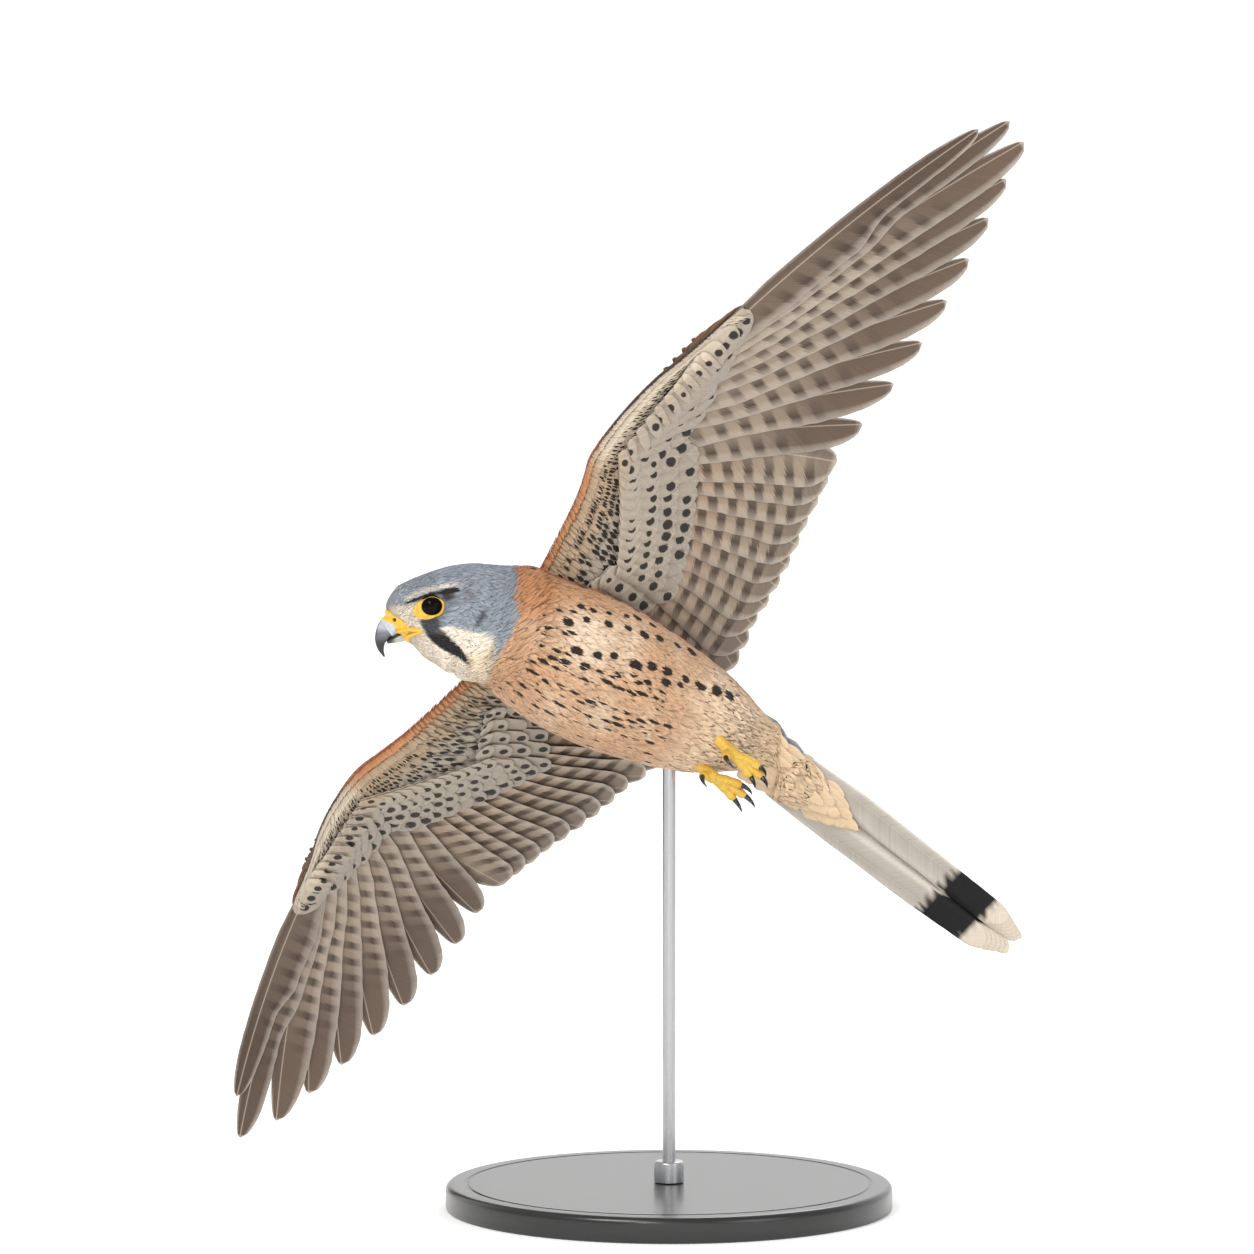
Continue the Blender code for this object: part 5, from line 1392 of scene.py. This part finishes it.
# Bare skin round the eye: yellow and finely wrinkled, widest below and in front
lid_look, tree, shader = new_material("bare_yellow_skin", "#e9b437", 0.42, Subsurface_Weight=0.12,
                                      Subsurface_Scale=0.002)
place = add(tree, "TexCoord")
pores = add(tree, "TexVoronoi", {"Scale": 1500.0}, {"Vector": place.outputs["Object"]})
cloud = add(tree, "TexNoise", {"Scale": 420.0, "Detail": 3.0}, {"Vector": place.outputs["Object"]})
warmth = add(tree, "ValToRGB", links={"Fac": cloud.outputs["Fac"]})
warmth.color_ramp.elements[0].position, warmth.color_ramp.elements[1].position = 0.3, 0.7
for stop, shade_of in zip(warmth.color_ramp.elements, ("#dfa42a", "#f4cb55")):
    stop.color = (*linear(shade_of), 1)
relief = add(tree, "Bump", {"Strength": 0.45, "Distance": 0.0003},
             {"Height": pores.outputs["Distance"]})
tree.links.new(warmth.outputs["Color"], shader.inputs["Base Color"])
tree.links.new(relief.outputs["Normal"], shader.inputs["Normal"])


def cheek_wall(ahead, above):
    """Half width of the head there: w (1 - ((z - z0) / h)^2)^0.5, by the skull's rings."""
    rows = np.array(SKULL)
    wide, high, mid = (np.interp(ahead, rows[:, 0], rows[:, column]) for column in (2, 3, 1))
    return wide * np.sqrt(np.maximum(1 - ((above - mid) / high) ** 2, 0.1)) - 0.1


EYE_RINGS, LID_TURNS = 26, 72
for side, word in ((1, "left"), (-1, "right")):
    middle = in_head(EYE_AT[0], side * EYE_OUT, EYE_AT[1])
    outward = HEAD_LEFT * side
    angle = np.linspace(1e-3, np.pi - 1e-3, EYE_RINGS)
    # The cornea stands 0.35 mm proud of the ball over the iris
    proud = 0.35 * gate(-angle, -0.75, -0.35)
    profile = np.column_stack((EYE_RADIUS * np.sin(angle), EYE_RADIUS * np.cos(angle) + proud))
    ball = revolved(middle, HEAD_FORE, HEAD_UP, outward, profile, 48)
    uv = np.stack((np.broadcast_to(np.arange(48) / 48, (EYE_RINGS, 48)),
                   np.broadcast_to(angle[:, None] / np.pi * 1.6, (EYE_RINGS, 48))), -1)
    faces = closed_faces(EYE_RINGS, 48)
    eye = joined(f"eye_ball_{word}", ball, faces, {"Gaze": uv.reshape(-1, 2)})
    dress(eye, eye_look, "eye", f"eye_{word}")
    turn = turns_of(LID_TURNS)
    # The lids' slit is 4.8 mm by 4.1 mm; the ring's outer edge runs out to 9.4 mm before it
    widen = np.maximum(0, np.cos(turn + 0.35)) ** 2.2
    inner = 4.75 - 0.6 * np.sin(turn) ** 2
    outer = 5.9 + 3.5 * widen
    outer = outer - 1.3 * gate(np.sin(turn), 0.2, 0.9) - 0.5 * gate(-np.sin(turn), 0.6, 1)
    steps = np.array((0.0, 0.08, 0.2, 0.38, 0.6, 0.82, 1.0))
    radius = inner + (outer - inner) * steps[:, None]
    fold = 0.16 * np.sin(turn * 23) * np.sin(np.pi * steps[:, None])
    ahead = EYE_AT[0] + radius * np.cos(turn)
    above = EYE_AT[1] + radius * np.sin(turn)
    ball_out = EYE_OUT + np.sqrt(np.maximum(EYE_RADIUS**2 - np.minimum(radius, 5.4) ** 2, 0.5))
    wall = cheek_wall(ahead, above)
    rise = np.array((0.15, 0.75, 0.95, 0.75, 0.5, 0.25, -0.9))[:, None]
    blend_out = np.minimum(1, steps[:, None] * 1.6)
    height = ball_out * (1 - blend_out) + wall * blend_out + rise + fold
    front = in_head(*(part[..., None] for part in (ahead, side * height, above)))
    hoop = np.concatenate((front, front[::-1] - outward * 1.4))
    last, a = (len(hoop) - 1) * LID_TURNS, np.arange(LID_TURNS)
    b = (a + 1) % LID_TURNS
    walls = grid_faces(len(hoop), LID_TURNS, wrap=True)
    faces = [np.vstack((walls, np.stack((a + last, b + last, b, a), 1)))]
    lid = joined(f"orbital_ring_{word}", hoop, faces)
    dress(lid, lid_look, "bare_skin", "head")

# The bill: a waxy yellow cere with a round nostril, a hooked upper half of horn with a tooth
# behind the hook, and a shorter lower half. Horn grows in layers, pale blue-grey to black.

# Rings: ahead and above the head's middle, half width, half height, droop in degrees
BILL = (
    (28.1, -1.2, 5.2, 5.6, 25.0), (31.4, -3.0, 4.5, 5.4, 29.0),
    (32.5, -3.9, 4.1, 5.1, 32.5), (34.2, -5.8, 3.3, 4.3, 42.0),
    (35.8, -9.6, 2.0, 2.8, 66.0), (35.7, -13.4, 1.0, 1.5, 84.0), (34.4, -16.6, 0.3, 0.4, 95.0),
)
LOWER_BILL = (
    (20.5, -6.8, 5.4, 2.6, 16.0), (25.1, -7.4, 4.8, 2.6, 14.0), (28.0, -8.0, 3.9, 2.4, 12.0),
    (30.6, -8.9, 2.7, 1.7, 14.0), (32.8, -10.0, 1.1, 0.7, 16.0),
)
# The cere's lower edge falls back from the ridge to the gape: ahead and above its start, slope
CERE_EDGE = (33.4, 0.2, 0.5)
NOSTRIL_AT = (28.5, 0.2)
BILL_SIDES = 40


def bill_form(rows, steps, swell=0.0, edge=0.0):
    """Rings middle + left w cos + up h sin down the bill, its under edges drawn to a lip."""
    turn = turns_of(BILL_SIDES)
    cos, sin = np.cos(turn)[:, None], np.sin(turn)[:, None]
    pinch = 1 - 0.14 * gate(sin, 0.2, 1.0)
    cut = np.where(sin < 0, 1 - edge * np.abs(sin) ** 3, 1.0)
    rings = []
    for ahead, above, wide, high, droop in smooth(rows, steps):
        up = turned(HEAD_UP, HEAD_LEFT, droop)
        rings.append(in_head(ahead, 0, above) + HEAD_LEFT * (wide + swell) * cos * pinch
                     + up * (high + swell) * sin * cut)
    return np.array(rings)


# Wax-like skin: light goes a little way in, and its fine grain breaks up the gloss
cere_look = grained("waxy_cere", "#f2bd3c", 0.38, ("TexNoise", {"Scale": 700.0, "Detail": 3.0}),
                   (0.3, 0.7, 0.86, 1.1), (0.3, 0.3), Subsurface_Weight=0.15,
                   Subsurface_Scale=0.002)

rings = bill_form(BILL[:3], 10, swell=0.15, edge=0.1)
ahead, left, up = np.moveaxis(head_place(rings.reshape(-1, 3)).reshape(*rings.shape), -1, 0)
hole = np.hypot(ahead - NOSTRIL_AT[0], up - NOSTRIL_AT[1])
dip = 0.3 * np.exp(-((hole - 1.5) / 0.45) ** 2) - 1.6 * (1 - gate(hole, 0.45, 1.05))
dip = np.where(abs(left) > 2, dip, 0)
middle = rings.mean(1, keepdims=True)
outward = rings - middle
rings = rings + outward / np.linalg.norm(outward, axis=-1)[..., None] * dip[..., None]
rings[-1] = rings[-1] * 0.93 + middle[-1] * 0.07
tone = np.tile(linear("#f3bf3e"), (rings.size // 3, 1))
# Painted shade inside the nostril's hole, darkest at its middle
dark = (1 - gate(hole, 0.7, 1.15)) * (abs(left) > 2)
tone = blend(tone, "#5a3310", dark.ravel())
over_edge = up - CERE_EDGE[1] - CERE_EDGE[2] * (ahead - CERE_EDGE[0])
tone = blend(tone, "#c3c8cd", gate(-over_edge, -0.2, 0.2).ravel())
cere = joined("cere_skin", rings, closed_faces(len(rings), BILL_SIDES),
              Tint=tone)
dress(cere, cere_look, "bare_skin", "cere")

# Behind, the cere lies over the brow's end and runs down and back to the corner of the gape
CERE_TURNS, CERE_STEPS = 180, 40
turn = turns_of(CERE_TURNS)
far = np.interp(np.sin(turn), (-1.0, -0.5, -0.3, 0.0, 0.3, 1.0), (4.2, 6.6, 7.0, 4.6, 2.7, 0.8))
share = np.linspace(0, 1, CERE_STEPS)[:, None]
grid = np.broadcast_to(turn, (CERE_STEPS, CERE_TURNS))
skull, out = skin_at(0.05 + (far - 0.05) * share, grid)
ahead, left, up = np.moveaxis(head_place(skull), -1, 0)
hole = np.where(abs(left) > 2, np.hypot(ahead - NOSTRIL_AT[0], up - NOSTRIL_AT[1]), 9.0)
rim = 0.22 * np.exp(-(((hole - 1.35) / 0.35) ** 2)) - 0.9 * (1 - gate(hole, 0.4, 1.0))
over = skull + out * (0.55 * np.sqrt(1 - share**4) + rim)[..., None]
shell = np.concatenate((over, (skull - out * 0.5)[::-1]))
tone = np.tile(linear("#f0bb3a"), (shell.size // 3, 1))
hole = np.concatenate((hole, hole[::-1])).ravel()
# Painted shade inside the nostril's hole
tone = blend(tone, "#5a2c10", 1 - gate(hole, 0.6, 1.05))
root = joined("cere_root", shell, closed_faces(len(shell), CERE_TURNS),
              Tint=tone)
dress(root, cere_look, "bare_skin", "cere")

# Horn worn smooth: a clear gloss over faint growth lines
horn_look = grained("polished_bill_horn", "#7f838a", 0.28,
                   ("TexNoise", {"Scale": 900.0, "Detail": 4.0}), (0.3, 0.7, 0.88, 1.08),
                   (0.12, 0.2), Coat_Weight=0.3, Coat_Roughness=0.2)


def horn_tint(points):
    """Pale blue-grey at the root, black along the ridge and over the hooked tip."""
    ahead, left, up = head_place(points.reshape(-1, 3)).T
    tip = gate(-up, 5.5, 11.0)
    ridge = gate(-abs(left), -1.9, -0.7) * gate(ahead, 33.0, 34.6)
    tone = np.tile(linear("#b9bfc6"), (len(ahead), 1))
    tone = blend(tone, "#6d7178", gate(-up, 2.5, 6.0))
    tone = blend(tone, "#1b1b1d", np.maximum(tip, ridge))
    over_edge = up - CERE_EDGE[1] - CERE_EDGE[2] * (ahead - CERE_EDGE[0])
    tone = blend(tone, "#f0bb3a", gate(over_edge, -0.2, 0.2))
    return tone


rings = bill_form(BILL[2:], 14, edge=0.22)
# The tooth: the upper bill's edge juts down 0.7 mm just behind the hook
share = np.linspace(0, 1, len(rings))
sink = turns_of(BILL_SIDES)
tooth = np.exp(-((share - 0.30) / 0.05) ** 2)[:, None]
tooth = tooth * np.exp(-((np.sin(sink) + 0.72) / 0.25) ** 2)
rings = rings - HEAD_UP * 0.7 * tooth[..., None]
hook = joined("bill_hook", rings, closed_faces(len(rings), BILL_SIDES),
              Tint=horn_tint(rings))
dress(hook, horn_look, "horn", "bill_upper")
rings = bill_form(LOWER_BILL, 8)
ahead, _, up = head_place(rings.reshape(-1, 3)).T
tone = np.tile(linear("#b9b6a8"), (len(ahead), 1))
tone = blend(tone, "#26262a", gate(ahead, 28, 31))
tone = blend(tone, "#e6b23a", gate(-ahead, -25.5, -23.5))
# The mouth's line, just under the upper bill's edge: painted shade in the gap between the bills
tone = blend(tone, "#2b211b", gate(up + 6.9 + 0.48 * (ahead - 25.7), -0.2, 0.2))
jaw = joined("bill_jaw", rings, closed_faces(len(rings), BILL_SIDES), Tint=tone)
dress(jaw, horn_look, "horn", "bill_lower")


def swept(path, radii, top, sides, squash=1.0):
    """Rings middle + r (across cos + over sin) along a path, over being nearest to top."""
    tangents = np.gradient(path, axis=0)
    tangents /= np.linalg.norm(tangents, axis=1)[:, None]
    over = top - tangents * (tangents @ top)[:, None]
    over /= np.linalg.norm(over, axis=1)[:, None]
    across = np.cross(tangents, over)
    turn = turns_of(sides)
    radii = np.broadcast_to(np.asarray(radii, float).reshape(len(path), -1), (len(path), sides))
    ring = np.cos(turn)[:, None] * across[:, None] + squash * np.sin(turn)[:, None] * over[:, None]
    return path[:, None] + radii[..., None] * ring


# The gape: yellow flanges from the cere and the jaw, which meet at the corner of the mouth
GAPE = (
    ((28.6, -5.7), (26.0, -5.1), (23.1, -4.7), (20.2, -4.8), (17.5, -5.4), (15.4, -6.3)),
    ((15.8, -6.4), (18.4, -6.6), (21.4, -7.4), (23.4, -8.3), (24.8, -9.0)),
)
for side, word in ((1, "left"), (-1, "right")):
    for part, (label, line) in enumerate(zip(("upper", "lower"), GAPE)):
        line = smooth(line, 5)
        out = np.maximum(cheek_wall(line[:, 0], line[:, 1]) - 0.1, 4.6)
        path = in_head(line[:, :1], (side * out)[:, None], line[:, 1:])
        share = np.linspace(0, 1, len(path))
        radii = (0.95, 0.75)[part] * np.sqrt(np.clip(1.02 - (2 * share - 1) ** 4, 0.05, 1))
        rings = swept(path, radii, HEAD_LEFT * side, 12)
        tone = np.tile(linear("#efb93a"), (rings.size // 3, 1))
        flange = joined(f"gape_{label}_{word}", rings, closed_faces(len(rings), 12),
                        Tint=tone)
        dress(flange, cere_look, "bare_skin", "cere")

# Feet: a bare yellow shank and four toes with scutes across their tops and pads below, and
# black hooked claws of polished horn, tucked back under the tail as in flight.

FEET = {
    "left": {"side": 1, "shank": (92.0, 6.0, -18.0), "foot": (103.5, 6.0, -30.5), "lean": 0.3},
    "right": {"side": -1, "shank": (93.0, -11.5, -17.0), "foot": (104.0, -11.0, -27.0),
              "lean": -0.08},
}
SHANK_RADIUS, TOE_RADIUS, TOE_LENGTHS = 2.7, 2.1, (14.0, 18.0, 15.0, 9.0)
TOE_SPREAD, TOE_BEND = (17.0, 0.0, -17.0, 180.0), (32.0, 32.0, 32.0, 75.0)
CLAW_LENGTH, CLAW_RADIUS, CLAW_HOOK = 8.5, 1.35, 60.0
SCUTE_STEP, LIMB_SIDES = 1.25, 20

# Scaled skin: small round scales between the scutes, each 1 mm across, with painted shade in their
# seams
foot_look = grained("scaled_yellow_skin", "#e3b13a", 0.45, ("TexVoronoi", {"Scale": 1000.0}),
                   (0.0, 0.6, 1.08, 0.84), (0.4, 0.3), invert=True, Subsurface_Weight=0.1,
                   Subsurface_Scale=0.002)
# Claw horn: black and polished, with a trace of brown in its grain
claw_look = grained(
    "black_claw_horn", "#121214", 0.22, ("TexNoise", {"Scale": 800.0, "Detail": 3.0}),
    ("#0d0d0f", "#26252a"), Coat_Weight=0.5, Coat_Roughness=0.12,
)


def toe_path(foot, side, lean, toe, steps):
    """A toe's arc back from the foot, bending down, and the directions at its end."""
    back = turned(unit(-FORE - lean * UP), UP, TOE_SPREAD[toe] * side)
    below = unit(-UP + back * np.dot(UP, back))
    whole = math.radians(TOE_BEND[toe])
    turn = whole * np.linspace(0, 1, steps)
    radius = TOE_LENGTHS[toe] / whole
    path = foot + radius * (np.outer(np.sin(turn), back) + np.outer(1 - np.cos(turn), below))
    ahead = back * math.cos(whole) + below * math.sin(whole)
    return path, back, below, ahead, below * math.cos(whole) - back * math.sin(whole)


def scaly(path, radius, top, length, pads, seed):
    """A scaled limb in one swept form: scutes step over its top, pads swell below, with painted
    shade in the seams and painted light below.
    """
    share = np.linspace(0, 1, len(path))
    turn = turns_of(LIMB_SIDES)
    step = (share * length / SCUTE_STEP)[:, None] % 1.0
    over = gate(np.sin(turn), -0.1, 0.6)
    scute = 0.20 * (step - 0.5) * over
    pad = 0.42 * np.abs(np.sin(np.pi * share * pads))[:, None] * gate(-np.sin(turn), 0.1, 0.8)
    pebble = 0.05 * np.sin(turn * 9 + 31 * share[:, None] * length / 4)
    ends = np.sqrt(np.clip(1 - ((share - 0.5) / 0.53) ** 10, 0.15, 1))
    radii = (np.asarray(radius) * ends)[:, None] + scute + pad + pebble
    rings = swept(path, radii, top, LIMB_SIDES)
    tone = np.tile(linear("#e6b43c"), (rings.size // 3, 1))
    # Painted shade in the seams where each scute steps over the next
    seam_shade = (gate(-step, -0.16, 0.0) + gate(step, 0.9, 1.0)) * over
    tone = blend(tone, "#9c6f1d", 0.55 * np.ravel(seam_shade * np.ones_like(radii)))
    # Painted light: the underside is paler
    lit = np.broadcast_to(gate(-np.sin(turn), 0.2, 0.9), radii.shape)
    tone = blend(tone, "#f2d069", 0.35 * np.ravel(lit))
    return rings, tone


for word, foot in FEET.items():
    shank, ankle = in_body(*foot["shank"]), in_body(*foot["foot"])
    limbs, tones, faces, base = [], [], [], 0
    length = np.linalg.norm(ankle - shank)
    share = np.linspace(-0.5, 1.12, 50)
    line = shank + np.outer(share, ankle - shank)
    parts = [(line, SHANK_RADIUS + 0.5 * gate(share, 0.6, 1.0) - 0.3 * gate(share, 1.0, 1.12),
              -FORE, 1.6 * length, 3)]
    for toe in range(4):
        path, back, below, ahead, curl = toe_path(ankle, foot["side"], foot["lean"], toe, 56)
        knuckle = np.linspace(0, 1, 56)
        girth = np.interp(knuckle, (0, 0.2, 0.4, 0.6, 0.8, 1.0), (1.15, 1.0, 1.1, 0.94, 1.0, 0.78))
        parts.append((path, TOE_RADIUS * girth, -below, TOE_LENGTHS[toe], (3, 4, 3, 2)[toe]))
        # The claw: an arc that hooks on past the toe, thinning to its point
        hook = math.radians(CLAW_HOOK)
        turn = hook * np.linspace(0, 1, 22)
        radius = CLAW_LENGTH / hook
        start = path[-1] - ahead * 0.5
        arc = start + radius * (np.outer(np.sin(turn), ahead) + np.outer(1 - np.cos(turn), curl))
        thin = CLAW_RADIUS * (1 - 0.88 * np.linspace(0, 1, 22) ** 1.2)
        rings = swept(arc, thin, -curl, 16)
        claw = joined(f"claw_horn_{word}_{toe + 1}", rings,
                      closed_faces(22, 16))
        dress(claw, claw_look, "horn", f"claw_{word}_{toe + 1}")
    for number, (path, girth, top, run, pads) in enumerate(parts):
        rings, tone = scaly(path, girth, top, run, pads, number)
        closed = closed_faces(len(rings), rings.shape[1])
        faces += [face + base for face in closed]
        limbs.append(rings.reshape(-1, 3))
        tones.append(tone)
        base += len(tone)
    tone = np.vstack(tones)
    leg = joined(f"foot_skin_{word}", np.vstack(limbs), faces,
                 Tint=tone)
    dress(leg, foot_look, "bare_skin", f"leg_{word}")

# The stand: a turned and lacquered round base, a steel collar, and a steel rod up into the
# belly. The collar is screwed to the base over the rod's foot.

BASE_RADIUS, BASE_HEIGHT, BASE_BEVEL, GROOVE = 105.0, 12.0, 3.0, 0.5
ROD_RADIUS, ROD_IN_BODY, COLLAR_RADIUS, COLLAR_HEIGHT, GAP = 3.0, 14.0, 7.0, 10.0, 0.3


def lathe(name, profile, sides=144):
    """A form turned about the rod's axis from (radius, height) pairs, closed at both ends."""
    points = revolved(np.zeros(3), np.array((1.0, 0, 0)), np.array((0, 1.0, 0)),
                      np.array((0, 0, 1.0)), profile, sides)
    made = joined(name, points, closed_faces(len(points), sides))
    made.data.set_sharp_from_angle(angle=math.radians(35))
    return made


def quarter(radius, height, bevel, steps=8):
    """A rounded edge: (radius, height) points from the wall up and over by a quarter circle."""
    turn = np.linspace(0, np.pi / 2, steps)
    out, up = bevel * np.cos(turn), bevel * np.sin(turn)
    return np.column_stack((radius - bevel + out, height - bevel + up))


base_profile = np.vstack((
    [(0.5, 0.0), (BASE_RADIUS - 1.2, 0.0), (BASE_RADIUS - 0.3, 0.4), (BASE_RADIUS, 1.2)],
    quarter(BASE_RADIUS, BASE_HEIGHT, BASE_BEVEL),
    [(BASE_RADIUS - 9.0, BASE_HEIGHT), (BASE_RADIUS - 9.6, BASE_HEIGHT - GROOVE),
     (BASE_RADIUS - 10.4, BASE_HEIGHT - GROOVE), (BASE_RADIUS - 11.0, BASE_HEIGHT),
     (0.5, BASE_HEIGHT)],
))
base = lathe("base_turned", base_profile, 192)
# Beech, turned and sprayed with black satin lacquer, which still shows a trace of its grain
lacquer = grained(
    "satin_black_lacquer", "#141414", 0.3, ("TexNoise", {"Scale": 1.0, "Detail": 5.0}),
    ("#101010", "#1d1c1b"), (0.08, 0.4), (30.0, 260.0, 260.0), Coat_Weight=0.4,
    Coat_Roughness=0.18,
)
dress(base, lacquer, "stand_lacquer", "stand_base")

foot_height = BASE_HEIGHT + GAP
collar = lathe("collar_turned", np.vstack((
    [(ROD_RADIUS + 0.3, foot_height), (COLLAR_RADIUS - 0.3, foot_height),
     (COLLAR_RADIUS, foot_height + 0.3)],
    quarter(COLLAR_RADIUS, foot_height + COLLAR_HEIGHT, 1.2),
    [(ROD_RADIUS + 0.3, foot_height + COLLAR_HEIGHT)],
)), 72)
behind, _, heights, _ = np.transpose(TRUNK)
belly = np.interp(PERCH_BEHIND, behind, heights) / math.cos(math.radians(CLIMB))
rod_top = PERCH_HEIGHT - belly + ROD_IN_BODY
rod = lathe("rod_drawn", [(0.4, BASE_HEIGHT - 6), (ROD_RADIUS, BASE_HEIGHT - 6),
                          (ROD_RADIUS, rod_top), (0.4, rod_top)], 48)
# Stainless steel, drawn and brushed along its length: soft streaks in its gloss
steel, tree, shader = new_material("brushed_stainless_steel", "#b9babc", 0.3, Metallic=1.0)
place = add(tree, "TexCoord")
stretch = add(tree, "Mapping", {"Scale": (2600.0, 2600.0, 60.0)},
              {"Vector": place.outputs["Object"]})
brush = add(tree, "TexNoise", {"Scale": 1.0, "Detail": 3.0}, {"Vector": stretch.outputs["Vector"]})
gloss = add(tree, "MapRange", {1: 0.3, 2: 0.7, 3: 0.22, 4: 0.42}, {0: brush.outputs["Fac"]})
relief = add(tree, "Bump", {"Strength": 0.06, "Distance": 0.0002}, {"Height": brush.outputs["Fac"]})
tree.links.new(gloss.outputs[0], shader.inputs["Roughness"])
tree.links.new(relief.outputs["Normal"], shader.inputs["Normal"])
dress(collar, steel, "stand_steel", "stand_collar")
dress(rod, steel, "stand_steel", "stand_rod")
